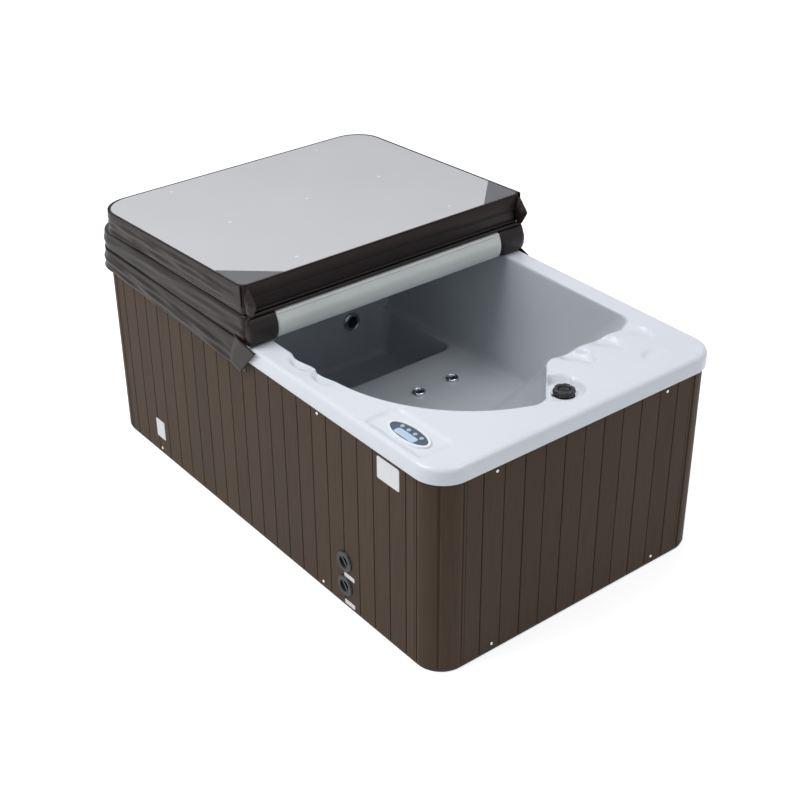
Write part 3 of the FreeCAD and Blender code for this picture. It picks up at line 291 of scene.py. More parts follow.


# %% [markdown]
# ## Cast acrylic
#
# The shell is one sheet of cast acrylic, heated and drawn by vacuum over a mould. That leaves a glossy
# surface with a very slight unevenness. The deck is nearly white. The basin's cool pale grey is painted
# shade, for the shade that falls into the deep basin. Two materials would leave a hard line at the edge,
# so the mesh carries an attribute that says whether a point lies in the basin, and one finish mixes both
# tones by it.

# %% Acrylic
def cast_acrylic():
    """Glossy sheet: clouded tones of the deck and of the basin's painted shade, mixed by the attribute, and a
    faint ripple.
    """
    material, tree, shader = new_finish("cast_acrylic", Roughness=0.3, IOR=1.49, Coat_Weight=0.08,
                                        Coat_Roughness=0.1)
    coords = object_coords(tree)
    inside = add_node(tree, "Attribute", {}, attribute_name="inside").outputs["Fac"]
    noise = add_node(tree, "TexNoise", {"Vector": coords, "Scale": per_metre(260), "Detail": 3.0})
    cloud = noise.outputs["Fac"]
    deck = add_node(tree, "Mix", {0: cloud, 6: linear("#D6DBE2"), 7: linear("#E0E4E9")}, data_type="RGBA")
    # The basin's darker grey is painted shade.
    basin = add_node(tree, "Mix", {0: cloud, 6: linear("#B3B8BD"), 7: linear("#C0C5C9")}, data_type="RGBA")
    both = add_node(tree, "Mix", {0: inside, 6: deck.outputs[2], 7: basin.outputs[2]}, data_type="RGBA")
    tree.links.new(both.outputs[2], shader.inputs["Base Color"])
    ripple = add_node(tree, "TexNoise", {"Vector": coords, "Scale": per_metre(45), "Detail": 2.0})
    bumped(tree, shader, ripple.outputs["Fac"], 0.6, 0.25)
    return material


acrylic = cast_acrylic()

# %% [markdown]
# ## Composite boards
#
# The cabinet is clad in boards of wood-plastic composite: matt, dark brown, with fine streaks along the
# board from the die, a slight change of tone from board to board and a shadow in each joint. Every board
# could have its own material, but the position does it in one: divided by the board's width and rounded
# down it is the board's number, which a random tone is drawn for, and its remainder shows the joint.

# %% Boards
LONG_BOARD, SHORT_BOARD, GROOVE = 80 * MM, 83 * MM, 2.2 * MM


def composite_board(name, axis, pitch, shift):
    """Boards side by side along an axis: a tone for each number, streaks along the board, dark joints."""
    material, tree, shader = new_finish(name, Roughness=0.62, Specular_IOR_Level=0.18)
    coords = object_coords(tree)
    split = add_node(tree, "SeparateXYZ", {"Vector": coords})
    place = add_node(tree, "Math", {0: split.outputs[axis], 1: 1 / pitch, 2: shift}, operation="MULTIPLY_ADD")
    number = add_node(tree, "Math", {0: place.outputs[0]}, operation="FLOOR")
    chance = add_node(tree, "TexWhiteNoise", {"W": number.outputs[0]}, noise_dimensions="1D")
    joint = add_node(tree, "Math", {0: place.outputs[0], 1: 0.5}, operation="PINGPONG")
    face = add_node(tree, "MapRange", {"Value": joint.outputs[0], "From Min": 0.5 * GROOVE / pitch,
                                       "From Max": GROOVE / pitch})
    fine, long = per_metre(3), per_metre(160)
    stretch = add_node(tree, "Mapping", {"Vector": coords, "Scale": (fine, fine, long)})
    streak = add_node(tree, "TexNoise", {"Vector": stretch.outputs[0], "Scale": 1.0, "Detail": 5.0})
    mixed = add_node(tree, "Math", {0: chance.outputs["Value"], 1: 0.25, 2: streak.outputs["Fac"]},
                     operation="MULTIPLY_ADD")
    tone = add_node(tree, "MapRange", {"Value": mixed.outputs[0], "From Min": 0.3, "From Max": 1.0})
    colour = add_node(tree, "Mix", {0: tone.outputs[0], 6: linear("#392C20"), 7: linear("#4E3E2F")},
                      data_type="RGBA")
    shaded = add_node(tree, "Mix", {0: face.outputs[0], 6: linear("#120D0A"), 7: colour.outputs[2]},
                      data_type="RGBA")
    tree.links.new(shaded.outputs[2], shader.inputs["Base Color"])
    bumped(tree, shader, streak.outputs["Fac"], 0.25, 0.5)
    return material


# A corner piece is bent from one wide board
CORNER_PITCH = 3.0
long_boards = composite_board("composite_board_long", "Y", LONG_BOARD, 0.5)
short_boards = composite_board("composite_board_short", "X", SHORT_BOARD, 0.0)
corner_board = composite_board("composite_corner", "X", CORNER_PITCH, 0.5)

# %% [markdown]
# ## Cover vinyl, liner and seal
#
# The cover's outside is marine vinyl with a pressed leather grain. The grain is a Voronoi pattern, drawn
# a little coarser than life so that it shows. The liner below is a smooth coated cloth, the seal along
# the fold a paler vinyl over soft foam.

# %% Vinyl, liner, seal
# Pattern sizes in millimetres: pressed grain, blotches of the vinyl and of the liner, the liner's weave
GRAIN, VINYL_BLOTCH, LINER_BLOTCH, WEAVE = 5.0, 140, 320, 9


def pressed_vinyl(name, dark, light, roughness=0.42):
    """Vinyl with a drifting colour, raised by cells of the grain's size."""
    material, tree, shader = new_finish(name, Roughness=roughness, Specular_IOR_Level=0.2)
    coords = object_coords(tree)
    blotched(tree, shader, dark, light, VINYL_BLOTCH, coords)
    grain = add_node(tree, "TexVoronoi", {"Vector": coords, "Scale": per_metre(GRAIN)}, feature="SMOOTH_F1")
    bumped(tree, shader, grain.outputs["Distance"], 0.5, 0.4)
    return material


def coated_liner(name, dark, light):
    """Smooth coated cloth: a slowly drifting colour over a faint weave."""
    material, tree, shader = new_finish(name, Roughness=0.55)
    coords = object_coords(tree)
    blotched(tree, shader, dark, light, LINER_BLOTCH, coords)
    weave = add_node(tree, "TexWave", {"Vector": coords, "Scale": per_metre(WEAVE), "Distortion": 0.6},
                     bands_direction="X")
    bumped(tree, shader, weave.outputs["Fac"], 0.12, 0.3)
    return material


vinyl = pressed_vinyl("marine_vinyl_brown", "#1F1714", "#281F1B")
# The darker vinyl is the real colour of the caps, welt, piping and handles, and painted shade on the front
# half's fold band.
trim_and_shade_vinyl = pressed_vinyl("marine_vinyl_dark", "#1C1715", "#241E1C")
seal_vinyl = pressed_vinyl("padded_vinyl_grey", "#C8CCC9", "#D4D7D4", 0.5)
liner_grey = coated_liner("coated_liner_grey", "#BABBBC", "#C1C2C3")
liner_dark = coated_liner("coated_liner_dark", "#59595B", "#656567")
thread = pressed_vinyl("polyester_thread", "#6E6A66", "#7A7672", 0.8)

# %% [markdown]
# ## Mouldings and metal
#
# Knob, jets and ports are black ABS, satin from a finely etched mould. The jet rings and screws are
# bright stainless steel. The control panel is white ABS round a dark glossy overlay. They differ only in
# tone, gloss and texture depth, so one function makes all mouldings and another all metals.

# %% Plastics and metals
def moulding(name, dark, light, roughness, cell=30.0, depth=0.08):
    """A moulded plastic or painted part: slight drift of colour and a fine etched texture."""
    material, tree, shader = new_finish(name, Roughness=roughness)
    coords = object_coords(tree)
    blotched(tree, shader, dark, light, cell, coords)
    etch = add_node(tree, "TexNoise", {"Vector": coords, "Scale": per_metre(1.2), "Detail": 2.0})
    bumped(tree, shader, etch.outputs["Fac"], depth, 0.4)
    return material


def bright_metal(name, colour, low, high, cell):
    """Polished metal, a little duller in places: the roughness drifts between two values."""
    material, tree, shader = new_finish(name, Base_Color=linear(colour), Metallic=1.0)
    coords = object_coords(tree)
    noise = add_node(tree, "TexNoise", {"Vector": coords, "Scale": per_metre(cell), "Detail": 3.0})
    rough = add_node(tree, "MapRange", {"Value": noise.outputs["Fac"], "To Min": low, "To Max": high})
    tree.links.new(rough.outputs[0], shader.inputs["Roughness"])
    return material


def sawn_timber():
    """Softwood from the saw: a grain of two browns, stretched along the beam."""
    material, tree, shader = new_finish("sawn_softwood", Roughness=0.7)
    coords = object_coords(tree)
    fine, long = per_metre(8), per_metre(150)
    stretch = add_node(tree, "Mapping", {"Vector": coords, "Scale": (fine, long, fine)})
    grain = add_node(tree, "TexNoise", {"Vector": stretch.outputs[0], "Scale": 1.0, "Detail": 5.0})
    tone = add_node(tree, "Mix", {0: grain.outputs["Fac"], 6: linear("#8A6A45"), 7: linear("#B9976C")},
                    data_type="RGBA")
    tree.links.new(tone.outputs[2], shader.inputs["Base Color"])
    return material


black_abs = moulding("black_abs", "#0F0F10", "#161618", 0.42)
throat_black = moulding("shadowed_throat", "#060607", "#0B0B0C", 0.6)
white_abs = moulding("white_abs", "#E2E5EA", "#EDF0F3", 0.25)
grey_abs = moulding("grey_abs", "#77797C", "#85878A", 0.45)
keypad = moulding("keypad_rubber", "#A9B4C2", "#B9C3CF", 0.6)
overlay = moulding("glossy_overlay", "#2F3B4C", "#4A5A70", 0.12, 60.0, 0.02)
screen_blue = moulding("lit_screen", "#9FC0DE", "#C3D9EC", 0.15, 25.0, 0.02)
plate_white = moulding("bare_plate", "#D9DBDC", "#E4E5E6", 0.4)
chrome = bright_metal("polished_stainless", "#C9CCCF", 0.08, 0.2, 12)
screw_steel = bright_metal("zinc_screw", "#D4D6D8", 0.2, 0.35, 4)
heater_steel = bright_metal("brushed_stainless", "#B5B6B5", 0.25, 0.4, 20)
pvc = moulding("white_pvc", "#CFCFCB", "#DCDCD8", 0.35)
frame_paint = moulding("painted_tube", "#6F7274", "#7C7F81", 0.45)
motor_paint = moulding("motor_enamel", "#2A2C2E", "#34373A", 0.4)
case_grey = moulding("control_case", "#87898B", "#939597", 0.5)
timber = sawn_timber()

# %% [markdown]
# ## Finishes for the carried-over pieces
#
# The cabinet, frame and equipment already have the right shape, so they stay and only get a finish. A list
# of pieces for each finish is quicker to read and to change than a call for each piece.

# %% Paint the frame's pieces
CARRIED = {
    long_boards: ["left_panel", "right_panel"],
    short_boards: ["front_panel", "rear_panel"],
    corner_board: ["corner_front_left", "corner_front_right", "corner_rear_left", "corner_rear_right"],
    black_abs: ["base_pan", "hose_ports", "hose_cap_upper", "hose_cap_lower", "pump_cradle", "pump_wet_end",
                "air_blower"],
    frame_paint: ["frame_bottom_ring", "frame_top_ring", "frame_posts"],
    timber: ["bearers"],
    pvc: ["jet_bodies", "diverter_valve", "suction_body", "suction_pipe", "return_pipe", "jet_manifold"],
    grey_abs: ["suction_grille"],
    chrome: ["knob_escutcheon"],
    white_abs: ["control_bezel"],
    overlay: ["control_lens"],
    keypad: ["button_jets", "button_light", "button_cooler", "button_warmer"],
    motor_paint: ["pump_motor"],
    case_grey: ["control_box"],
    heater_steel: ["heater_tube"],
}


JOIN_WITHIN = 0.02 * MM


def paint(node, finish):
    """Gives a carried-over piece one finish, and joins its loose triangles."""
    mesh = nodes[node].data
    mesh.materials.clear()
    mesh.materials.append(finish)
    nodes[node].modifiers.new("join", "WELD").merge_threshold = JOIN_WITHIN


for finish, names in CARRIED.items():
    for name in names:
        paint(name, finish)
print(sum(len(names) for names in CARRIED.values()), "pieces painted")

# %% [markdown]
# ## The acrylic shell
#
# From the well's floor outwards, the shell is a stack of closed rings: well floor, well wall, seat, basin
# wall, deck, rolled rim and lip, and back under the deck. Each column of the grid goes down one line of
# the mould, and each bend of that line is a curve. The rear seat is higher than the front one, so the
# columns behind the riser stop at its level.

# %% Sizes of the shell
shell_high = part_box("tub_shell")[1]
half_x, half_y, deck_z = shell_high.x, shell_high.y, shell_high.z
LIP_Z = deck_z - 57 * MM
RIM_CORNER, RIM_ROUND, LIP_WALL = 108 * MM, 18 * MM, 6 * MM
OPEN_LEFT, OPEN_RIGHT, OPEN_REAR = -505 * MM, 515 * MM, 880 * MM
SEAT_Z, REAR_SEAT_Z, WELL_Z = 330 * MM, 450 * MM, 125 * MM
RISER_Y = 600 * MM
SIDE_BATTER, BACK_RAKE, REAR_BATTER = 50 * MM, 392 * MM, 50 * MM
# Columns along each stretch of the opening, from the left end of the riser
LEFT_RUN, LOBE_RUN, TIP_RUN, SLANT_RUN, NOTCH_RUN, FRONT_RUN = 56, 150, 20, 26, 12, 44
BEND_RUN, RIGHT_RUN, REAR_SIDE_RUN, REAR_BEND, REAR_RUN = 20, 112, 20, 18, 84
WELL_MIDDLE, WELL_HALF = np.array([15, 382]) * MM, np.array([434, 228]) * MM
WELL_CORNER, WELL_BATTER, WELL_TOP = 64 * MM, 20 * MM, 455 * MM
LOBE_RADIUS, LOBE_BACK, OPEN_CORNER, DECK_FRONT = 580 * MM, 675 * MM, 75 * MM, 303 * MM
# Where the lobe's arc passes and ends, as ways from its middle
LOBE_PASS, LOBE_END = np.array([-0.83, -0.557]), np.array([-205, -543])
# The tip and the notch of the front edge beside the knob, from the opening's left front corner
TIP, TIP_END = np.array([413, 124]) * MM, np.array([459, 149]) * MM
NOTCH = np.array([(575, 269), (600, 292), (635, 303)]) * MM
# Heights of the rear seat's nose, by place along the tub
NOSE_Y = np.array([599.5, 600.5, 603, 608]) * MM
NOSE_Z = np.array([425, 438, 446, 449.5]) * MM
NOSE_FRONT, NOSE_REAR = 598.5 * MM, 618 * MM
print("rim", round(2 * half_x, 3), "by", round(2 * half_y, 3), "m,", round(deck_z, 3), "m high")

# %% [markdown]
# The opening is drawn from straight lines and arcs through three points, as a mould is set out. The same
# outline, drawn in and with its front moved back, gives the walls' foot. Both have as many points, so a wall
# goes straight from one to the other.

# %% Outline of the opening
def line(a, b, count):
    """Even points from a to just before b."""
    return np.asarray(a) + (np.asarray(b) - np.asarray(a)) * np.linspace(0, 1, count, endpoint=False)[:, None]


def arc_through(a, b, c, count):
    """Even points on the circle through three points, from a to just before c."""
    a, b, c = (np.asarray(p, float) for p in (a, b, c))
    system = 2 * np.stack([b - a, c - a])
    centre = np.linalg.solve(system, [b @ b - a @ a, c @ c - a @ a])
    radius = np.linalg.norm(a - centre)
    turns = np.unwrap([math.atan2(*(p - centre)[::-1]) for p in (a, b, c)])
    at = np.linspace(turns[0], turns[2], count, endpoint=False)
    return centre + radius * np.stack([np.cos(at), np.sin(at)], -1)


def basin_outline(inset, shift, rear):
    """The opening's outline from the left riser end, drawn in by an inset, its front moved by a shift."""
    left, right = OPEN_LEFT + inset, OPEN_RIGHT - inset
    corner = OPEN_CORNER
    nook = corner * (1 - math.sqrt(0.5))
    base = np.array([OPEN_LEFT, -half_y + shift])
    lobe = base + [LOBE_RADIUS, LOBE_BACK]
    start = np.array([left, lobe[1]])
    middle, end = (lobe + way / np.hypot(*way) * (LOBE_RADIUS - inset) for way in (LOBE_PASS, LOBE_END))
    tip, tip_end = base + TIP + [0, inset], base + TIP_END + [0, inset]
    notch, notch_middle, notch_end = base + NOTCH
    front = base[1] + DECK_FRONT
    return np.vstack([
        line((left, NOSE_FRONT), start, LEFT_RUN),
        arc_through(start, middle, end, LOBE_RUN),
        arc_through(end, tip, tip_end, TIP_RUN),
        line(tip_end, notch, SLANT_RUN),
        arc_through(notch, notch_middle, notch_end, NOTCH_RUN),
        line(notch_end, (right - corner, front), FRONT_RUN),
        arc_through((right - corner, front), (right - nook, front + nook), (right, front + corner), BEND_RUN),
        line((right, front + corner), (right, NOSE_FRONT), RIGHT_RUN),
        [(right, NOSE_FRONT)],
        np.stack([np.full(len(NOSE_Y), right), NOSE_Y], -1),
        line((right, NOSE_REAR), (right, rear - corner), REAR_SIDE_RUN),
        arc_through((right, rear - corner), (right - nook, rear - nook), (right - corner, rear), REAR_BEND),
        line((right - corner, rear), (left + corner, rear), REAR_RUN),
        arc_through((left + corner, rear), (left + nook, rear - nook), (left, rear - corner), REAR_BEND),
        line((left, rear - corner), (left, NOSE_REAR), REAR_SIDE_RUN),
        [(left, NOSE_REAR)],
        np.stack([np.full(len(NOSE_Y), left), NOSE_Y[::-1]], -1),
    ])


# %% [markdown]
# The well, the rim and the small plates are rounded rectangles. A ray from the middle meets each of them
# once, so a ray for every column gives them as many points as the opening has.

# %% Rounded rectangles
def rounded_box(middle, half, radius, count=4000):
    """A dense rounded rectangle, anticlockwise: along each ray, the first place that lies outside it."""
    u = np.linspace(-np.pi, np.pi, count, endpoint=False)
    way = np.stack([np.cos(u), np.sin(u)], -1)
    inner = np.asarray(half) - radius
    reach = np.linspace(0, 1.5 * np.hypot(*half), count)
    gap = np.abs(way[:, None] * reach[:, None]) - inner
    outside = np.linalg.norm(np.maximum(gap, 0), axis=-1) - radius
    hit = reach[np.argmax(outside > 0, axis=1)]
    return np.asarray(middle) + way * hit[:, None], u


def box_normal(points, middle, half, radius):
    """The way out of a rounded rectangle: away from the nearest point of its inner core."""
    core = np.clip(points - middle, -(np.asarray(half) - radius), np.asarray(half) - radius)
    way = points - middle - core
    return way / np.linalg.norm(way, axis=1, keepdims=True)


def box_ray(angles, middle, half, radius):
    """Where rays from the middle meet a rounded rectangle; found on its straight sides, then on its arcs."""
    way = np.stack([np.cos(angles), np.sin(angles)], -1)
    inner = np.asarray(half) - radius
    straight = (np.asarray(half) / np.maximum(np.abs(way), 1e-9)).min(1)
    point = np.abs(way) * straight[:, None]
    in_corner = (point > inner).all(1)
    along = np.abs(way) @ inner
    reach = along + np.sqrt(np.maximum(along ** 2 - inner @ inner + radius ** 2, 0))
    return np.asarray(middle) + way * np.where(in_corner, reach, straight)[:, None]


top_line = basin_outline(0, 0, OPEN_REAR)
low_line = basin_outline(SIDE_BATTER, BACK_RAKE, OPEN_REAR - REAR_BATTER)
columns = len(top_line)
print(columns, "columns round the shell")

# %% [markdown]
# The deck has round scoops, a bowl for the diverter knob and a sunk pad for the control panel. They could be
# cut out and rounded, but each is drawn as a depth that fades out over a soft edge, so the deck stays one
# smooth sheet.

# %% Depths in the deck
KNOB_BOWL = (14 * MM, -850 * MM, 86 * MM, 30 * MM)
# Middle, radius, depth in millimetres, and the way towards the deep side
SCOOPS = ((178, -742, 80, 28, 0.85, 0.53), (318, -742, 72, 17, 0.85, 0.53), (446, -748, 72, 12, 0.85, 0.53),
          (402, -908, 56, 8, 0, 1), (-478, -222, 76, 14, -0.5, 0.87), (-478, -345, 76, 14, -0.5, 0.87))
# The pad is open to the rim on the left and runs out to the deck's level at its near end
PAD_MIDDLE, PAD_HALF = np.array([-540, -763]) * MM, np.array([99, 145]) * MM
PAD_CORNER, PAD_DEPTH, PAD_EDGE, PAD_SIDE_FADE, PAD_NEAR_FADE = 44 * MM, 8 * MM, 11 * MM, 26 * MM, 50 * MM
SOFT_EDGE, FRONT_SCOOPS_X, BOWL_LONG_EDGE = 13 * MM, 110 * MM, 26 * MM
# A scoop's slope starts this share of its radius before its middle and is this many radii long
SLOPE_START, SLOPE_LONG = 0.4, 1.1


def deck_drop(points):
    """How far the deck lies below its top: the deepest of the scoops, the knob's bowl and the pad.

    Past the straight front edge a scoop keeps the depth that it has there.
    """
    x, y = points[..., 0], points[..., 1]
    kept = np.where(x > FRONT_SCOOPS_X, np.minimum(y, DECK_FRONT - half_y), y)
    drop = np.zeros(x.shape)
    for sx, sy, radius, depth, way_x, way_y in np.array(SCOOPS) * [MM, MM, MM, MM, 1, 1]:
        away = np.hypot(x - sx, kept - sy)
        along = (x - sx) * way_x + (kept - sy) * way_y
        deep = smooth_step((along + SLOPE_START * radius) / (SLOPE_LONG * radius))
        drop = np.maximum(drop, depth * deep * smooth_step((radius - away) / SOFT_EDGE))
    kx, ky, radius, depth = KNOB_BOWL
    away = np.hypot(x - kx, y - ky)
    edge = SOFT_EDGE + BOWL_LONG_EDGE * np.clip((ky - y + kx - x) / radius, 0, 1)
    drop = np.maximum(drop, depth * smooth_step((radius - away) / edge))
    q = np.abs(points - PAD_MIDDLE) - (PAD_HALF - PAD_CORNER)
    outside = np.linalg.norm(np.maximum(q, 0), axis=-1) + np.minimum(q.max(-1), 0) - PAD_CORNER
    pad = PAD_DEPTH * smooth_step(-outside / PAD_EDGE) * smooth_step((x + half_x - RIM_ROUND) / PAD_SIDE_FADE)
    return np.maximum(drop, pad * smooth_step((y - PAD_MIDDLE[1] + PAD_HALF[1]) / PAD_NEAR_FADE))


edge_drop = deck_drop(top_line)
print("the opening's edge drops by up to", round(edge_drop.max() / MM, 1), "mm")

# %% [markdown]
# Each column is a chain of corners: well middle, well foot, well edge, seat's outer edge, opening edge,
# rim. A bend replaces each corner by a curve whose reach is the fillet's, so nothing has a hard crease.

# %% Bends and rings
def with_height(points, height):
    """Points in plan, each with a height."""
    return np.concatenate([points, np.broadcast_to(height, (len(points),))[:, None]], 1)


def bend(before, corner, after, reach, steps):
    """Rings of a quadratic curve round each column's corner, starting and ending a reach away."""
    back, ahead = before - corner, after - corner
    a = corner + back * np.minimum(reach / np.linalg.norm(back, axis=1), CORNER_SHARE)[:, None]
    b = corner + ahead * np.minimum(reach / np.linalg.norm(ahead, axis=1), CORNER_SHARE)[:, None]
    t = np.linspace(0, 1, steps)[:, None, None]
    return (1 - t) ** 2 * a + 2 * t * (1 - t) * corner + t ** 2 * b


def between(a, b, steps):
    """Rings between two rings, without either."""
    t = np.linspace(0, 1, steps + 2)[1:-1, None, None]
    return a + (b - a) * t


def angle_about(points, middle):
    """The angle of each point about a middle, without jumps."""
    return np.unwrap(np.arctan2(points[:, 1] - middle[1], points[:, 0] - middle[0]))


# %% [markdown]
# Rays alone would cross the step between the two seats at a slant. So the columns at the rear seat's nose
# keep their place along the tub, and the others share the angles between them in proportion.

# %% Columns of the foot well
WELL_REAR_GAP = 0.4 * MM


def well_columns():
    """The well's outline, one point per column: between fixed columns the angles go in proportion."""
    turn = angle_about(low_line, WELL_MIDDLE)
    dense, u = rounded_box(WELL_MIDDLE, WELL_HALF, WELL_CORNER)
    right = (dense[:, 0] > WELL_MIDDLE[0]) & (dense[:, 1] > WELL_MIDDLE[1])
    stops = np.concatenate([[NOSE_FRONT], NOSE_Y, [NOSE_REAR]])
    stops = np.minimum(stops, WELL_MIDDLE[1] + WELL_HALF[1] - WELL_REAR_GAP)
    spots = np.interp(stops, dense[right, 1], u[right])
    first = np.argmin(np.abs(low_line[:, 1] - NOSE_FRONT) + (low_line[:, 0] < 0))
    nose = len(stops)
    knots = np.concatenate([[0], np.arange(first, first + nose), np.arange(columns - nose + 1, columns + 1)])
    mirrored = np.pi - spots
    places = np.concatenate([[mirrored[0] - 2 * np.pi], spots, mirrored[::-1]])
    share = np.interp(np.arange(columns), knots, np.arange(len(knots)))
    whole = np.minimum(share.astype(int), len(knots) - 2)
    ends = np.append(turn, turn[0] + 2 * np.pi)
    part = (turn - ends[knots[whole]]) / (ends[knots[whole + 1]] - ends[knots[whole]])
    angles = places[whole] + part * (places[whole + 1] - places[whole])
    return box_ray(angles, WELL_MIDDLE, WELL_HALF, WELL_CORNER)


floor_z = np.where(low_line[:, 1] > RISER_Y, REAR_SEAT_Z, SEAT_Z)
for y, z in zip(NOSE_Y, NOSE_Z):
    floor_z = np.where(np.abs(low_line[:, 1] - y) < 0.1 * MM, z, floor_z)
depth_share = ((deck_z - floor_z) / (deck_z - SEAT_Z))[:, None]
foot_line = top_line + (low_line - top_line) * depth_share
well_line = well_columns()
well_out = box_normal(well_line, WELL_MIDDLE, WELL_HALF, WELL_CORNER)


def well_at(height, grow=0.0):
    """The well's outline at a height: its walls lean, so it narrows downwards."""
    lean = WELL_BATTER * (WELL_TOP - height) / (WELL_TOP - WELL_Z)
    return with_height(well_line + well_out * (grow - np.broadcast_to(lean, (columns,)))[:, None], height)


rim_turn = angle_about(top_line, (0, 0))
RIM_HALF = np.array([half_x, half_y])
rim_line = box_ray(rim_turn, (0, 0), RIM_HALF, RIM_CORNER)
rim_out = box_normal(rim_line, (0, 0), RIM_HALF, RIM_CORNER)


def rim_at(inset, height):
    """The rim's outline, drawn in by an inset, at a height."""
    return with_height(rim_line - rim_out * inset, height)


# %% [markdown]
# Now every corner of the chain is known. Beside the knob the wall falls plumb before it joins the raked
# backrest, and where a scoop lowers the opening's edge, the edge slides down the wall's own slope.

# %% Corners of each column
PLUNGE, PLUNGE_ROUND, FADE_IN, FADE_OUT, FADE_PAST = 230 * MM, 400 * MM, 140, 28, 8
# The innermost ring, as a share of the outline that it closes
CORE_SHARE = 0.03
tip_start = LEFT_RUN + LOBE_RUN
notch_stop = tip_start + TIP_RUN + SLANT_RUN + NOTCH_RUN
number = np.arange(columns)
plumb = smooth_step((number - tip_start + FADE_IN) / FADE_IN)
plumb *= smooth_step((notch_stop + FADE_PAST - number) / FADE_OUT)
slide = edge_drop / (deck_z - floor_z) * (1 - plumb)
edge = with_height(top_line + (foot_line - top_line) * slide[:, None], deck_z - edge_drop)
foot = with_height(foot_line, floor_z)
lip_edge = well_at(floor_z)
well_foot = well_at(WELL_Z)
core_line = WELL_MIDDLE + (well_line - WELL_MIDDLE) * CORE_SHARE
well_core = with_height(core_line, WELL_Z)
deck_start = rim_at(RIM_ROUND, deck_z)
wall_way = foot - edge
wall_middle = edge + wall_way * (PLUNGE / -wall_way[:, 2])[:, None]
wall_middle[:, :2] += (edge - wall_middle)[:, :2] * plumb[:, None]

# %% [markdown]
# A steep wall needs a longer reach for the same fillet than a raked one: the radius times the tangent of half
# the angle that the sheet turns through. The rear seat is narrow, so its fillet is kept small.

# %% Rings of the shell
FOOT_ROUND, EDGE_ROUND, WELL_EDGE_ROUND, WELL_FOOT_ROUND = 62 * MM, 9 * MM, 13 * MM, 34 * MM
REAR_FOOT_REACH, LEAST_TURN = 24 * MM, 0.05
# Rings from each bend to the next, across the deck and round the rim
RUNS, DECK_RINGS, RIM_RINGS = (5, 7, 9, 4, 4), 46, 8
steepness = np.arccos(np.clip(-wall_way[:, 2] / np.linalg.norm(wall_way, axis=1), 0, 1))
foot_reach = FOOT_ROUND * np.tan((np.pi / 2 - steepness) / 2 + LEAST_TURN)
foot_reach = np.where(floor_z > SEAT_Z + MM, np.minimum(foot_reach, REAR_FOOT_REACH), foot_reach)
bends = [
    bend(well_core, well_foot, lip_edge, WELL_FOOT_ROUND, 6),
    bend(well_foot, lip_edge, foot, WELL_EDGE_ROUND, 6),
    bend(lip_edge, foot, wall_middle, foot_reach, 8),
    bend(foot, wall_middle, edge, PLUNGE_ROUND, 16),
    bend(wall_middle, edge, deck_start, EDGE_ROUND, 6),
]
parts = [well_core[None]]
for run, bent in zip(RUNS, bends):
    parts += [between(parts[-1][-1], bent[0], run), bent]
inside_rings = sum(len(part) for part in parts)
deck_rings = between(parts[-1][-1], deck_start, DECK_RINGS)
deck_rings[..., 2] = deck_z - deck_drop(deck_rings[..., :2])
quarter = np.linspace(0, np.pi / 2, RIM_RINGS)
rim_steps = [(RIM_ROUND * (1 - math.sin(q)), deck_z - RIM_ROUND * (1 - math.cos(q))) for q in quarter]
# The lip's lower edge is eased before the sheet turns in
rim_steps += [(0, LIP_Z + 2 * MM), (0.6 * MM, LIP_Z + 0.5 * MM), (2 * MM, LIP_Z), (LIP_WALL, LIP_Z)]
parts += [deck_rings] + [rim_at(inset, height)[None] for inset, height in rim_steps]
print(inside_rings, "rings in the basin,", sum(len(part) for part in parts), "up to the lip")

# %% [markdown]
# Under the deck the sheet goes back at its own thickness, so that the shell is a closed body. Nobody sees
# that side, so a few rings are enough.

# %% Close the shell underneath
SHEET, DECK_SHEET, EDGE_SHEET = 8 * MM, 22 * MM, 34 * MM


def line_out(outline):
    """The way out of a closed outline, square to its direction."""
    way = np.roll(outline, -1, 0) - np.roll(outline, 1, 0)
    out = np.stack([way[:, 1], -way[:, 0]], -1)
    return out / np.maximum(np.linalg.norm(out, axis=1, keepdims=True), 1e-9)


top_out = line_out(top_line)
under = [
    rim_at(LIP_WALL, deck_z - DECK_SHEET),
    with_height(top_line + top_out * SHEET, deck_z - EDGE_SHEET),
    wall_middle + np.pad(top_out * SHEET, ((0, 0), (0, 1))),
    with_height(foot_line + top_out * SHEET, floor_z - SHEET),
    well_at(floor_z - SHEET, SHEET),
    well_at(WELL_Z - SHEET, SHEET),
    with_height(core_line, WELL_Z - SHEET),
]
rings = np.concatenate(parts + [ring[None] for ring in under])
shell = add_closed("acrylic_shell", rings, acrylic, "tub", "acrylic_shell", SHELL_EDGE)
# Points in the basin take the acrylic's painted shade, one ring at the opening's edge half of it.
inside = np.zeros((len(rings), columns), np.float32)
inside[:inside_rings - 2] = 1.0
inside[inside_rings - 2] = 0.5
shell.data.attributes.new("inside", "FLOAT", "POINT").data.foreach_set("value", inside.ravel())
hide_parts("tub_shell")
print("shell of", len(rings), "rings")

# %% [markdown]
# ## Jets
#
# A jet is a bright ring on the wall and a face that the bather turns: a dished black cup with a dark throat
# and two finger lugs. Both could be made once and copied, but each face rides on its own body and two sizes
# are needed, so both are turned profiles drawn from the ring's radius.

# %% Profiles of ring and face
SMALL_RING, BIG_RING = 26.5 * MM, 41 * MM
HOLE_SHARE, RING_LIFT, FACE_GAP = 0.78, 0.3 * MM, 3.6 * MM
# Height of the ring's crest, and the share of the face that is black, by where the jet sits
RING_CREST = {"seat": 11 * MM, "riser": 8 * MM, "front": 5 * MM}
BLACK_SHARE = {"seat": 0.66, "riser": 0.9, "front": 0.9}
THROAT_SHARE, LUG_HIGH, FACE_SIDES, RING_SIDES = 0.5, 1.6 * MM, 40, 48


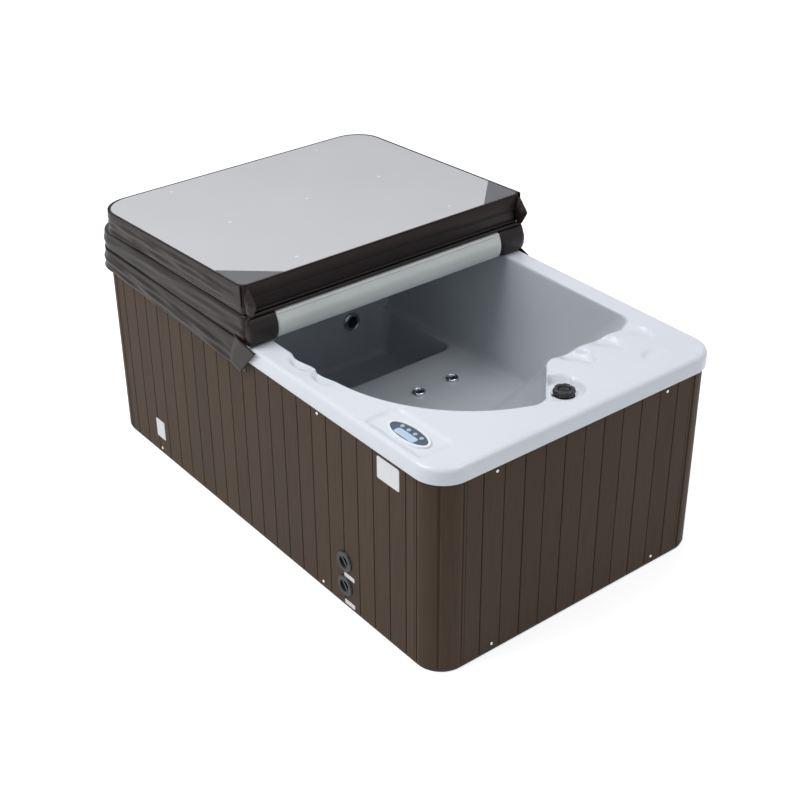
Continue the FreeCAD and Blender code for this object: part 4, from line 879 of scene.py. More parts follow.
def ring_profile(ring, crest):
    """A rolled bezel: low outer edge, round crest, step down to the face."""
    inner = HOLE_SHARE * ring - FACE_GAP + 0.4 * MM
    outside = 0.5 * (inner + ring) + 2 * MM
    corners = [(inner, 0.2 * MM), (inner, 0.6 * crest), (inner + 3 * MM, crest), (outside, 0.85 * crest),
               (ring, 1.4 * MM), (ring, 0.2 * MM)]
    return soften(corners, 2.2 * MM, 6)


def face_profile(ring):
    """A cup that falls from its rim to a dark throat."""
    outer = HOLE_SHARE * ring - FACE_GAP - 0.2 * MM
    throat = THROAT_SHARE * outer
    corners = [(outer, 0.4 * MM), (outer, 4.6 * MM), (0.82 * outer, 4.9 * MM), (throat, 2.4 * MM),
               (0.92 * throat, 0.9 * MM), (0.1 * throat, 0.7 * MM)]
    return soften(corners, 1.6 * MM, 5)


def capped_ring(rows, sides):
    """The faces of a turned ring whose profile's last row is joined to its first."""
    here = np.arange(sides)
    ahead = (here + 1) % sides
    last = (rows - 1) * sides
    return grid_quads(rows, sides) + np.stack([last + here, last + ahead, ahead, here], -1).tolist()


# %% [markdown]
# Two lugs rise from each face where the fingers push. The face is one mesh, and its finishes go by the
# distance from its axis: dark throat, black cup, bright edge.

# %% Faces and rings
# A lug is this narrow (a power of a cosine), and rises and falls over these shares of the face's radius
LUG_NARROW, LUG_FROM, LUG_RISE, LUG_FALL, CUP_FLOOR = 24, 0.45, 0.2, 0.1, 1.2 * MM


def add_jet(name):
    """Makes a jet's face, raised into two lugs along one line, and gives its ring's points and faces."""
    joint = joints[name + "_turn"]
    spot, way = np.array(joint["pos_m"]), joint["axis"]
    kind = name.split("_")[0]
    ring = BIG_RING if kind == "riser" else SMALL_RING
    profile = face_profile(ring)
    points = turned(profile, FACE_SIDES)
    turn = np.arctan2(points[:, 1], points[:, 0])
    reach = np.hypot(points[:, 0], points[:, 1])
    share = reach / reach.max()
    lug = np.abs(np.cos(turn)) ** LUG_NARROW * smooth_step((share - LUG_FROM) / LUG_RISE)
    lug *= smooth_step((1 - share) / LUG_FALL)
    points[:, 2] += LUG_HIGH * lug * (points[:, 2] > CUP_FLOOR)
    lifted = stood(points + [0, 0, RING_LIFT], spot, way)
    cup = capped_quads(len(profile), FACE_SIDES)
    face = add_piece("face_" + name, lifted, cup, black_abs, name, "jet_black")
    away = np.linalg.norm(np.cross(face_middles(face) - spot, np.array(way)), axis=1)
    face.data.materials.append(throat_black)
    face.data.materials.append(chrome)
    in_throat, on_edge = away < THROAT_SHARE * reach.max(), away > BLACK_SHARE[kind] * reach.max()
    finishes = np.select([in_throat, on_edge], [1, 2])
    face.data.polygons.foreach_set("material_index", finishes.astype(np.int32))
    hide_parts(name)
    profile = ring_profile(ring, RING_CREST[kind])
    points = turned(profile, RING_SIDES) + [0, 0, RING_LIFT]
    return stood(points, spot, way), capped_ring(len(profile), RING_SIDES)


jet_names = [name.removesuffix("_turn") for name in joints if "_jet_" in name]
bezels = joined([add_jet(name) for name in jet_names])
rings_piece = add_piece("jet_bezels", *bezels, chrome, "tub", "jet_chrome")
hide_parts("jet_rings")
print(len(jet_names), "jets")

# %% [markdown]
# ## Diverter knob
#
# The knob is a black crown: a turned profile whose radius dips six times round it for the fingers, with
# a hollow top. The dips could be cut with six cylinders, but a cosine that only acts on the outside gives
# them soft edges in one line.

# %% Knob
knob_spot = np.array(joints["knob_turn"]["pos_m"])
KNOB_R, KNOB_LOW, KNOB_TOP, KNOB_SIDES = 37 * MM, 3.7 * MM, 22 * MM, 96
KNOB_CORE, GRIPS, GRIP_DEPTH = 2 * MM, 6, 0.13


def crown():
    """Radius r(z), less a share that goes with max(cos 6u, 0)^1.5 on the outside of the crown."""
    r, low, top = KNOB_R, KNOB_LOW, KNOB_TOP
    corners = [(KNOB_CORE, low), (0.9 * r, low), (r, low + 5 * MM), (0.95 * r, top - 3 * MM), (0.82 * r, top),
               (0.62 * r, top - 0.6 * MM), (0.5 * r, top - 12 * MM), (KNOB_CORE, top - 13 * MM)]
    profile = soften(corners, 4 * MM, 6)
    points = turned(profile, KNOB_SIDES)
    turn, reach = np.arctan2(points[:, 1], points[:, 0]), np.hypot(points[:, 0], points[:, 1])
    outside = smooth_step((reach / r - 0.66) / 0.25)
    dip = GRIP_DEPTH * np.clip(np.cos(GRIPS * turn), 0, 1) ** 1.5 * outside
    points[:, :2] *= (1 - dip)[:, None]
    return points + knob_spot, capped_quads(len(profile), KNOB_SIDES)


knob = add_piece("crown_knob", *crown(), black_abs, "diverter_knob", "jet_black")
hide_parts("diverter_knob")

# %% [markdown]
# ## Control screen
#
# The oval panel keeps its bezel, overlay and buttons. A pale lit screen lies on the overlay beside the
# buttons, bare of signs. It could be a patch of colour on the overlay, but as a thin plate of its own its
# rounded edge catches the light.

# %% Screen
lens_low, lens_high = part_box("control_lens")
SCREEN_HALF, SCREEN_CORNER, SCREEN_HIGH = np.array([14, 46]) * MM, 9 * MM, 0.6 * MM
SCREEN_SHIFT, PLATE_CORE = 12 * MM, 0.6


def plate(middle, half, corner, low, high, count=64):
    """A thin plate with a rounded outline and edge, level, as rings from below to above."""
    outline = box_ray(np.linspace(-np.pi, np.pi, count, endpoint=False), (0, 0), half, corner)
    out = box_normal(outline, (0, 0), half, corner)
    soft = min(0.4 * (high - low), 0.6 * MM)
    stack = [(PLATE_CORE, low, 0), (1, low, soft), (1, low + soft, 0),
             (1, high - soft, 0), (1, high, soft), (PLATE_CORE, high, 0)]
    middle = np.asarray(middle)
    rings = [with_height(middle + (outline - out * inset) * share, z) for share, z, inset in stack]
    return np.concatenate(rings), capped_quads(len(stack), count)


screen_middle = ((lens_low.x + lens_high.x) / 2 - SCREEN_SHIFT, (lens_low.y + lens_high.y) / 2)
screen = plate(screen_middle, SCREEN_HALF, SCREEN_CORNER, lens_high.z, lens_high.z + SCREEN_HIGH)
add_piece("lit_screen", *screen, screen_blue, "tub", "display_lens")

# %% [markdown]
# ## Screws and bare plates on the cabinet
#
# Bright pan-head screws hold the panels near their top and bottom edges. The plates under the ports and
# on the left side are bare. A plate is drawn level and then stood against its side, and all screws are one
# mesh, because they never move apart.

# %% Screws and plates
SIDE_X, END_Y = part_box("left_panel")[0].x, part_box("front_panel")[0].y
SCREW_R, SCREW_HIGH, SCREW_SIDES = 5.5 * MM, 2.6 * MM, 16
END_SPOTS = [(x * MM, z * MM) for x in (-364, 364) for z in (32, 691)]
SIDE_SPOTS = [(y * MM, z * MM) for y in (-395, 663) for z in (28, 692)]
SCREWS = [((x, side * END_Y, z), (0, -side, 0)) for side in (1, -1) for x, z in END_SPOTS]
SCREWS += [((side * SIDE_X, y, z), (-side, 0, 0)) for side in (1, -1) for y, z in SIDE_SPOTS]
dome = soften([(SCREW_R, 0), (SCREW_R, 0.9 * MM), (0.75 * SCREW_R, SCREW_HIGH), (0.3 * SCREW_R, SCREW_HIGH),
               (0.24 * SCREW_R, 0.5 * SCREW_HIGH)], 1.0 * MM, 4)
head, head_faces = turned(dome, SCREW_SIDES), capped_quads(len(dome), SCREW_SIDES)
screws = joined([(stood(head, spot, way), head_faces) for spot, way in SCREWS])
add_piece("panel_screws", *screws, screw_steel, "tub", "jet_chrome")

PLATE_CORNER, PLATE_BACK, PLATE_FACE = 3 * MM, 0.1 * MM, 0.9 * MM
# Middle along the side, height, half length and half height, in millimetres
PLATES = {"port_plate_upper": (-544.5, 135, 27.5, 8.5), "port_plate_lower": (-544.5, 24, 27.5, 9),
          "side_plate_large": (-756.5, 654, 54, 40), "side_plate_small": (661, 115, 30, 40)}
for name, (y, z, wide, high) in PLATES.items():
    flat, faces = plate((0, 0), np.array([wide, high]) * MM, PLATE_CORNER, PLATE_BACK, PLATE_FACE)
    stood_up = np.stack([SIDE_X - flat[:, 2], y * MM - flat[:, 0], z * MM + flat[:, 1]], -1)
    add_piece(name, stood_up, faces, plate_white, "tub", "bezel_white")
print(len(SCREWS), "screws,", len(PLATES), "plates")

# %% [markdown]
# ## The cover's two halves
#
# Each half is a tapered foam board in a tight vinyl bag. Its section has soft edges and slightly swollen
# sides, and the vinyl is drawn into shallow folds. Cloth simulation could swell it, but would move the seams
# and bands, so the forms are formulas. The front half is drawn closed, then turned back about the fold by
# the joint's own range, as it lies in the photo.

# %% Cover sizes
fold = joints["cover_fold"]
FOLD_Y, FOLD_Z = fold["pos_m"][1:]
FOLD_TURN = -math.radians(fold["range_deg"][1])
COVER_HALF, COVER_FAR, COVER_CORNER, FOLD_CORNER = 604 * MM, 1004 * MM, 112 * MM, 24 * MM
COVER_LOW, COVER_TOP, COVER_TAPER, FACE_OFF = deck_z + 2.0 * MM, deck_z + 110 * MM, 24 * MM, 7 * MM


def folded(points):
    """Turns points of the closed front half back about the fold."""
    y, z = points[..., 1] - FOLD_Y, points[..., 2] - FOLD_Z
    c, s = math.cos(FOLD_TURN), math.sin(FOLD_TURN)
    return np.stack([points[..., 0], FOLD_Y + c * y - s * z, FOLD_Z + s * y + c * z], -1)


def as_drawn(points):
    """Leaves points of the rear half where they are."""
    return points


print("the fold turns", round(math.degrees(-FOLD_TURN), 1), "degrees at", round(FOLD_Y, 3), round(FOLD_Z, 3))

# %% [markdown]
# A half's plan has small corners at the fold and wide ones at the far end. Its rings go from the middle of
# the underside, round a soft edge, up the swollen side and over to the middle of the tapered top.

# %% Plan and section of a half
# Points round a half's plan and in each corner arc, then rings up its edges, its side and across its faces
HALF_COLUMNS, ARC_STEPS, EDGE_RINGS, SIDE_RINGS, LID_RINGS = 420, 24, 6, 44, 12
BOARD_INSET, BOARD_SOFT, BOARD_SWELL = 1 * MM, 12 * MM, 3 * MM


def cover_outline(near, far, grow, count):
    """Plan of a cover half: quarter circles, small at the fold and wide beyond, joined at an even pace."""
    way = 1 if far > near else -1
    half, end, start = COVER_HALF + grow, far + way * grow, near - way * grow
    corners = [(half, start, FOLD_CORNER), (half, end, COVER_CORNER),
               (-half, end, COVER_CORNER), (-half, start, FOLD_CORNER)]
    u = np.linspace(0, np.pi / 2, ARC_STEPS)
    path = []
    for (x, y, radius), sx, sy in zip(corners, (-1, -1, 1, 1), (way, -way, -way, way)):
        centre = np.array([x + sx * radius, y + sy * radius])
        first, last = np.array([0, -sy]) * radius, np.array([-sx, 0]) * radius
        if (x > 0) != (abs(y - start) < abs(y - end)):
            first, last = last, first
        path.append(centre + first * np.cos(u)[:, None] + last * np.sin(u)[:, None])
    return walk(np.vstack(path), count)


def cover_top(y):
    """Height of the tapered top along the tub."""
    return COVER_TOP - COVER_TAPER * np.abs(y - FOLD_Y) / (COVER_FAR - FOLD_Y)


def shrunk(plan, middle, shares):
    """Copies of a plan, each shrunk towards a middle."""
    return [middle + (plan - middle) * share for share in shares]


def foam_board(near, far):
    """Rings from the underside's middle, round soft edges, up swollen sides, to the top's middle."""
    outline = cover_outline(near, far, -BOARD_INSET, HALF_COLUMNS)
    out = line_out(outline)
    if (out * (outline - outline.mean(0))).sum() < 0:
        out = -out
    soft, tall = BOARD_SOFT, COVER_TOP - COVER_LOW
    u = np.linspace(0, np.pi / 2, EDGE_RINGS)
    low_edge = [(soft * (1 - math.sin(v)), soft * (1 - math.cos(v))) for v in u]
    rise = np.linspace(0, 1, SIDE_RINGS)[1:-1]
    side = [(-BOARD_SWELL * math.sin(math.pi * t), soft + t * (tall - 2 * soft)) for t in rise]
    high_edge = [(inset, tall - height) for inset, height in reversed(low_edge)]
    rings = []
    for inset, height in low_edge + side + high_edge:
        plan = outline - out * inset
        rings.append(with_height(plan, COVER_LOW + height / tall * (cover_top(plan[:, 1]) - COVER_LOW)))
    middle = np.array([0.0, (near + far) / 2])
    shares = np.linspace(1, CORE_SHARE, LID_RINGS)[1:]
    lids = [with_height(plan, cover_top(plan[:, 1])) for plan in shrunk(rings[-1][:, :2], middle, shares)]
    bases = [with_height(plan, COVER_LOW) for plan in shrunk(rings[0][:, :2], middle, shares[::-1])]
    return np.stack(bases + rings + lids), out


# %% [markdown]
# Vinyl on a foam board hangs in long folds that slant down to the fold line, deepest where it is slack. A
# few sines of height and distance, with drawn phases, give folds that look loose but come out the same on
# every run.

# %% Folds and bands
FOLD_WAVES = ((1.3, 0.7), (2.1, -1.1), (3.4, 1.9), (0.6, 5.3))
# Depth of the folds, the share of it that is lost towards the far end, and the smooth share beside the fold
FOLD_DEPTH, FOLD_LOSS, FOLD_SMOOTH = 2.6 * MM, 0.6, 0.04
# The face at the fold, in millimetres above the deck: start and height of the swollen band, place and width
# of the seam, then where the upper band goes back and comes out again, and over what height
SWELL_FROM, SWELL_HIGH, SEAM_AT, SEAM_WIDE = 6, 46, 55, 2.6
BACK_FROM, BACK_IN, BACK_TO, BACK_OUT = 53, 5, 100, 6
# How far each stands out or in, in millimetres, and how near the face a point has to be to follow
SWELL_BY, SEAM_BY, BACK_BY, FACE_REACH = 2.5, 4.5, 2.5, 12 * MM


def slack(up, away, seed):
    """Long folds that slant down to the fold: sines of height plus distance, the shorter the weaker."""
    rng = np.random.default_rng(seed)
    wave = np.zeros(np.broadcast(up, away).shape)
    for tall, long in FOLD_WAVES:
        phase = rng.uniform(0, 2 * np.pi)
        wave += np.sin(2 * np.pi * (tall * up + long * away) + phase) / (1 + 0.3 * tall + 0.2 * abs(long))
    return wave


def side_folds(grid, out, depth, seed):
    """Draws the slack of the vinyl into the sides, most near the fold, none at the sewn edges."""
    up = np.clip((grid[..., 2] - COVER_LOW) / (COVER_TOP - COVER_LOW), 0, 1)
    away = np.abs(grid[..., 1] - FOLD_Y) / (COVER_FAR - FOLD_Y)
    push = depth * slack(up, away, seed) * np.sin(np.pi * up)
    push = push * (1 - FOLD_LOSS * away) * smooth_step(away / FOLD_SMOOTH)
    grid = grid.copy()
    grid[..., :2] += push[..., None] * out
    return grid


def fold_bands(grid, near):
    """Shapes the face at the fold, in millimetres: a swollen band, a deep seam, a band that is set back."""
    high = (grid[..., 2] - deck_z) / MM
    swollen = SWELL_BY * np.sin(np.pi * np.clip((high - SWELL_FROM) / SWELL_HIGH, 0, 1))
    seam = -SEAM_BY * np.exp(-((high - SEAM_AT) / SEAM_WIDE) ** 2)
    set_back = -BACK_BY * smooth_step((high - BACK_FROM) / BACK_IN) * smooth_step((BACK_TO - high) / BACK_OUT)
    at_face = smooth_step(1.4 - np.abs(grid[..., 1] - near) / FACE_REACH)
    push = (swollen + seam + set_back) * MM * at_face
    grid = grid.copy()
    grid[..., 1] += push * np.sign(FOLD_Y - near)
    return grid


# %% [markdown]
# Both halves are now made by the same steps: the board, its folds, the bands at the fold, and last its place.
# Up to its seam, the front half's face at the fold gets the darker vinyl as painted shade.

# %% Two halves
BAND_SEAM = 55 * MM


def add_board(name, near, far, body, node, place, seed):
    """Makes one half with its folds and bands, and puts it in its place."""
    grid, out = foam_board(near, far)
    grid = place(fold_bands(side_folds(grid, out, FOLD_DEPTH, seed), near))
    piece = add_closed(name, grid, vinyl, body, "cover_vinyl", VINYL_EDGE)
    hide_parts(node)
    return piece


rear_near, front_near = FOLD_Y + FACE_OFF, FOLD_Y - FACE_OFF
add_board("rear_board", rear_near, COVER_FAR, "cover_rear", "cover_rear_foam", as_drawn, seed=4)
front_board = add_board("front_board", front_near, -COVER_FAR, "cover_front", "cover_front_foam", folded,
                        seed=7)
# The band by the fold gets the darker vinyl as painted shade.
front_board.data.materials.append(trim_and_shade_vinyl)
middles = face_middles(front_board)
shaded_band = (middles[:, 1] < FOLD_Y + 2 * FACE_OFF) & (middles[:, 2] < FOLD_Z + BAND_SEAM)
front_board.data.polygons.foreach_set("material_index", shaded_band.astype(np.int32))
print(shaded_band.sum(), "faces in the darker band")

# %% [markdown]
# At each end of the fold a web of vinyl joins the halves. It is slack and stands out as a thin leaf when the
# cover is folded. Only its outline is listed; a lens shape fills it.

# %% Webs at the fold's ends
WEB = np.array([(14, 104), (-3, 101), (-46, 54), (-16, 2), (8, -6), (24, 50)]) * MM
WEB_X, WEB_THICK, WEB_KEEP, WEB_SIDES = 587 * MM, 16 * MM, 0.05, 72
WEB_SOFT, WEB_RINGS, WEB_START = 7 * MM, 9, 0.05
# Depth of the creases, and how far apart they lie along and up the leaf, per radian
CREASE_DEPTH, CREASE_ALONG, CREASE_UP = 1.6 * MM, 5 * MM, 9 * MM


def web():
    """A slack leaf: rings of its outline shrink to the middle while its thickness grows as 1 - f^2."""
    outline = walk(soften(np.vstack([WEB, WEB[:2]]), WEB_SOFT, 5)[1:-1], WEB_SIDES)
    middle = outline.mean(0)
    shares = np.sin(np.linspace(WEB_START, np.pi / 2, WEB_RINGS))
    full = (1 - shares ** 2)[:, None]
    plan = middle + (outline - middle) * shares[:, None, None]
    crease = CREASE_DEPTH * np.sin(plan[..., 0] / CREASE_ALONG + plan[..., 1] / CREASE_UP) * full
    x = WEB_X + WEB_THICK * full + crease
    front = np.stack([x, FOLD_Y + plan[..., 0], FOLD_Z + plan[..., 1]], -1)
    back = front * [-1, 1, 1] + [2 * WEB_X, 0, 0]
    return np.concatenate([front, back[-2::-1]])


for side, name in ((-1, "fold_web_left"), (1, "fold_web_right")):
    piece = add_closed(name, web() * [side, 1, 1], vinyl, "cover_front", "cover_vinyl", VINYL_EDGE)
    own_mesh(piece)

# %% [markdown]
# ## Liner, corner patches and eyelets
#
# The underside of each half is closed by a pale liner, welded on a little inside the edge. It is stretched
# flat, so a thin closed sheet with the half's own plan is enough.

# %% Liners
LINER_LOW, LINER_THICK, LINER_INSET, LINER_RINGS = deck_z + 0.3 * MM, 1.6 * MM, 7 * MM, 10


def liner_sheet(near, far):
    """A thin closed sheet: rings from the middle of its lower face, round its edge, to the middle above."""
    outline = cover_outline(near, far, -LINER_INSET, HALF_COLUMNS)
    plans = shrunk(outline, np.array([0.0, (near + far) / 2]), np.linspace(CORE_SHARE, 1, LINER_RINGS))
    lower = [with_height(plan, LINER_LOW) for plan in plans]
    upper = [with_height(plan, LINER_LOW + LINER_THICK) for plan in plans]
    return np.stack(lower + upper[::-1])


def add_liner(name, near, far, body, node, place):
    piece = add_closed(name, place(liner_sheet(near, far)), liner_grey, body, "cover_liner")
    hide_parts(node)


add_liner("front_liner", front_near, -COVER_FAR, "cover_front", "cover_front_liner", folded)
add_liner("rear_liner", rear_near, COVER_FAR, "cover_rear", "cover_rear_liner", as_drawn)

# %% [markdown]
# At the fold the front half's liner has two darker triangular patches at its corners. Each is a flat plate
# that stands a hair proud of the liner, so that its edge shows.

# %% Corner patches
PATCH_LEG, PATCH_NIP, PATCH_THICK, PATCH_PROUD, PATCH_SIDES = 165 * MM, 14 * MM, 0.7 * MM, 0.2 * MM, 48
PATCH_STACK = ((0.1, 0), (1, 0), (1, PATCH_THICK), (0.1, PATCH_THICK))
for side, name in ((-1, "corner_patch_left"), (1, "corner_patch_right")):
    tip = np.array([side * (COVER_HALF - LINER_INSET), front_near - LINER_INSET])
    corners = tip + [(-side * PATCH_NIP, 0), (-side * PATCH_LEG, 0), (0, -PATCH_LEG), (0, -PATCH_NIP)]
    outline = walk(corners, PATCH_SIDES)
    plans = shrunk(outline, outline.mean(0), [share for share, height in PATCH_STACK])
    heights = [LINER_LOW - PATCH_PROUD + height for share, height in PATCH_STACK]
    grid = np.stack([with_height(plan, height) for plan, height in zip(plans, heights)])
    add_closed(name, folded(grid), liner_dark, "cover_front", "cover_liner")

# %% [markdown]
# Small eyelets let water drain out of the liner. They are turned rings, copied to their places as one mesh.

# %% Eyelets
EYELET_R, EYELET_HOLE, EYELET_SIDES = 6 * MM, 2.2 * MM, 20
EYELETS = ((-332, -116), (332, -116), (-332, -529), (0, -529), (332, -529), (-332, -934), (332, -934))
EYELET_LOW, EYELET_TOP = -0.25 * MM, 0.6 * MM
eyelet = soften([(EYELET_HOLE, EYELET_TOP), (EYELET_HOLE, EYELET_LOW),
                 (EYELET_R, EYELET_LOW), (EYELET_R, EYELET_TOP)], 0.6 * MM, 4)
eyelet_spots = [(x * MM, y * MM, LINER_LOW) for x, y in EYELETS]
eyelet_points, eyelet_faces = scatter(turned(eyelet, EYELET_SIDES), capped_ring(len(eyelet), EYELET_SIDES),
                                      eyelet_spots)
eyelets = add_piece("drain_eyelets", folded(eyelet_points), eyelet_faces, plate_white, "cover_front",
                    "grille_grey")
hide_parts("cover_grommets")

# %% [markdown]
# ## Flaps
#
# A vinyl flap hangs round three sides of the rear half and holds the lip. The front half's flap lies flat
# against its sides while that half is folded back. Both are one sheet, bent round the corners, with
# loose waves that grow towards the free edge. Hung cloth could be simulated, but the flap has to keep its
# slanted edge and its place round the lip.

# %% Shape of a flap
FLAP_OFF, FLAP_PROUD, FLAP_SHEET, FLAP_ARC = 0.6 * MM, 1.2 * MM, 2 * MM, 30
# Shares of the drop and of the length over which the waves grow to their full depth
WAVES_DOWN, WAVES_AWAY = 0.5, 0.14


def flap_path(near, far, grow, count):
    """The flap's line in plan: down one side, round the far end and back up the other side."""
    way = 1 if far > near else -1
    half, end, radius = COVER_HALF + grow, far + way * grow, COVER_CORNER + grow
    u = np.linspace(0, np.pi / 2, FLAP_ARC)
    right = np.stack([half - radius + radius * np.cos(u), end - way * radius + way * radius * np.sin(u)], -1)
    left = right[::-1] * [-1, 1]
    return walk(np.vstack([[(half, near)], right, left, [(-half, near)]]), count, closed=False)


def flap_grid(near, far, top, low, low_far, flare, waves, seed, rows=26, count=520):
    """Rows from the sewn to the free edge, whose height changes towards the far end; slack only outwards."""
    path = flap_path(near, far, FLAP_OFF, count)
    way = np.gradient(path, axis=0)
    out = np.stack([way[:, 1], -way[:, 0]], -1)
    out /= np.linalg.norm(out, axis=1, keepdims=True)
    if (out * (path - path.mean(0))).sum() < 0:
        out = -out
    down = np.linspace(0, 1, rows)[:, None]
    away = (np.abs(path[:, 1] - near) / abs(far - near))[None]
    loose = 1 + np.clip(slack(down, away, seed), -1, None)
    push = flare * down + waves * loose * smooth_step(down / WAVES_DOWN) * smooth_step(away / WAVES_AWAY)
    plan = path[None] + out[None] * (FLAP_PROUD + push)[..., None]
    height = top + (low + (low_far - low) * away - top) * down
    return np.concatenate([plan, height[..., None]], -1)


# %% [markdown]
# A sheet is drawn as its middle surface, and a Solidify modifier gives it its thickness to both sides.

# %% Both flaps
def thicken(piece, thick):
    """Gives a sheet its thickness, half to each side."""
    solid = piece.modifiers.new("thickness", "SOLIDIFY")
    solid.thickness = thick
    solid.offset = 0


def add_flap(name, grid, body, node):
    faces = grid_quads(*grid.shape[:2], wrap=False)
    piece = add_piece(name, grid, faces, vinyl, body, "cover_vinyl", VINYL_EDGE)
    thicken(piece, FLAP_SHEET)
    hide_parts(node)


REAR_FLAP_TOP, REAR_FLAP_LOW, REAR_FLAP_FAR = deck_z + 9 * MM, deck_z - 92 * MM, deck_z - 62 * MM
REAR_FLARE, REAR_WAVES, FRONT_FLARE, FRONT_WAVES = 3 * MM, 2.6 * MM, 0.6 * MM, 2.2 * MM
FRONT_FLAP, FRONT_FLAP_TOP, FRONT_FLAP_BACK = 80 * MM, deck_z + 1 * MM, 6 * MM
rear_grid = flap_grid(rear_near, COVER_FAR, REAR_FLAP_TOP, REAR_FLAP_LOW, REAR_FLAP_FAR,
                      REAR_FLARE, REAR_WAVES, seed=3)
add_flap("rear_flap", rear_grid, "cover_rear", "cover_rear_flap")
front_low = deck_z + FRONT_FLAP
front_grid = flap_grid(front_near - FRONT_FLAP_BACK, -COVER_FAR, FRONT_FLAP_TOP, front_low, front_low,
                       FRONT_FLARE, FRONT_WAVES, seed=8)
add_flap("front_flap", folded(front_grid), "cover_front_skirt", "cover_front_flap")

# %% [markdown]
# Beside the fold the rear flap ends in a slanted tab that hangs a little lower. It is a patch between its
# free slanted edge and its sewn edge, bowed slightly outwards, that sinks into the flap where it is sewn.

# %% Flap tabs
TAB_FREE = np.array([(-89, 779), (-40, 725), (14, 666)]) * MM
TAB_SEWN = np.array([(46, 792), (84, 738), (96, 690)]) * MM
TAB_OFF, TAB_BOW, TAB_LEAN, TAB_SINK = 607.5 * MM, 1.5 * MM, 4 * MM, 3 * MM
TAB_DROOP = np.array([26, -24]) * MM
TAB_ROWS, TAB_COLUMNS = 14, 16
# Shares of a tab's width: the part that leans out, then where it starts to sink in and over what share
LEAN_SHARE, SINK_FROM, SINK_SHARE, LEAST_BOW = 0.35, 0.6, 0.4, 0.2


def tab(side):
    """Straight lines from the free to the sewn edge, leaning out at the one and sunk in at the other."""
    free, sewn = (walk(edge, TAB_ROWS, closed=False) for edge in (TAB_FREE, TAB_SEWN))
    u = np.linspace(0, 1, TAB_COLUMNS)[None, :, None]
    flat = free[:, None] + (sewn - free)[:, None] * u
    flat = flat + (side + 1) / 2 * TAB_DROOP * (1 - u)
    u = u[..., 0]
    bow = TAB_BOW * np.sin(np.pi * u) * np.linspace(LEAST_BOW, 1, TAB_ROWS)[:, None]
    lean = TAB_LEAN * smooth_step((1 - u) / LEAN_SHARE) - TAB_SINK * smooth_step((u - SINK_FROM) / SINK_SHARE)
    patch = np.stack([side * (TAB_OFF + bow + lean), flat[..., 0], flat[..., 1]], -1)
    return patch.reshape(-1, 3), grid_quads(TAB_ROWS, TAB_COLUMNS, wrap=False)


tabs = add_piece("flap_tabs", *joined([tab(-1), tab(1)]), vinyl, "cover_rear", "cover_vinyl")
thicken(tabs, FLAP_SHEET)
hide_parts("cover_flap_tabs")

# %% [markdown]
# ## Seal bar, end caps and welts
#
# Along the fold the rear half has a padded bar of pale vinyl that closes the gap, with a brown cap at
# each end. A padded roll could be inflated as cloth, but it is nearly even, so one soft section is carried
# along the tub's width and puckers slightly.

# %% Seal bar
SEAL_HALF, SEAL_LOW, SEAL_TOP = 492 * MM, deck_z + 5 * MM, deck_z + 101 * MM
SEAL_THICK, CAP_THICK, PRESSED = 30 * MM, 33 * MM, 7.5 * MM
# Puckers per metre of each sine along the roll
PUCKERS = (3, 7, 13, 22)


def d_bar(x_low, x_high, thick, low, top, pucker, seed, round_end, steps=120):
    """A soft roll (flat at the back) carried along X; it puckers, and its ends are rounded off."""
    corners = [(0, low), (0.5, low), (0.92, low + 24 * MM),
               (1, top - 40 * MM), (0.45, top - 2 * MM), (0, top)]
    section = soften(np.array(corners) * [thick, 1], 13 * MM, 6)
    rng = np.random.default_rng(seed)
    x = np.linspace(x_low, x_high, steps)
    turn = 2 * np.pi * (x - x_low)
    wave = sum(np.sin(count * turn + rng.uniform(0, 6)) / count for count in PUCKERS)
    ends = np.clip(np.minimum(x - x_low, x_high - x) / round_end, 0, 1)
    rounded = np.sqrt(1 - (1 - ends) ** 2)
    swell = (0.72 + 0.28 * rounded) * (1 + pucker * wave)
    y = rear_near - section[None, :, 0] * swell[:, None]
    middle = (low + top) / 2
    z = middle + (section[:, 1] - middle) * (0.9 + 0.1 * rounded)[:, None]
    return np.stack([np.broadcast_to(x[:, None], y.shape), y, z], -1)


def press(piece):
    """Gives a soft piece on the rear half's face its own copy of its mesh."""
    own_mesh(piece)


seal_grid = d_bar(-SEAL_HALF, SEAL_HALF, SEAL_THICK, SEAL_LOW, SEAL_TOP,
                  pucker=0.05, seed=2, round_end=8 * MM)
seal = add_closed("seal_bar", seal_grid, seal_vinyl, "cover_rear", "seal_vinyl", SEAL_EDGE)
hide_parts("cover_seal")
press(seal)

# %% [markdown]
# The caps are the same roll, a little thicker and well rounded at its ends. The left one is the right one's
# mirror image, so its faces are turned round to keep their outer side out.

# %% End caps
cap_grid = d_bar(SEAL_HALF - 4 * MM, COVER_HALF - 2 * MM, CAP_THICK, SEAL_LOW - 2 * MM, SEAL_TOP + 1 * MM,
                 pucker=0.04, seed=5, round_end=26 * MM, steps=44)
right_cap, right_faces = cap_grid.reshape(-1, 3), capped_quads(*cap_grid.shape[:2])
left_cap, left_faces = right_cap * [-1, 1, 1], [face[::-1] for face in right_faces]
caps = add_piece("seal_caps", *joined([(right_cap, right_faces), (left_cap, left_faces)]), trim_and_shade_vinyl,
                 "cover_rear", "cover_vinyl", SEAL_EDGE)
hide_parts("cover_seal_ends")
press(caps)

# %% [markdown]
# A welt runs along the fold itself and bends down at its ends. It is a tube whose thickness changes a little,
# as sewn cord does.

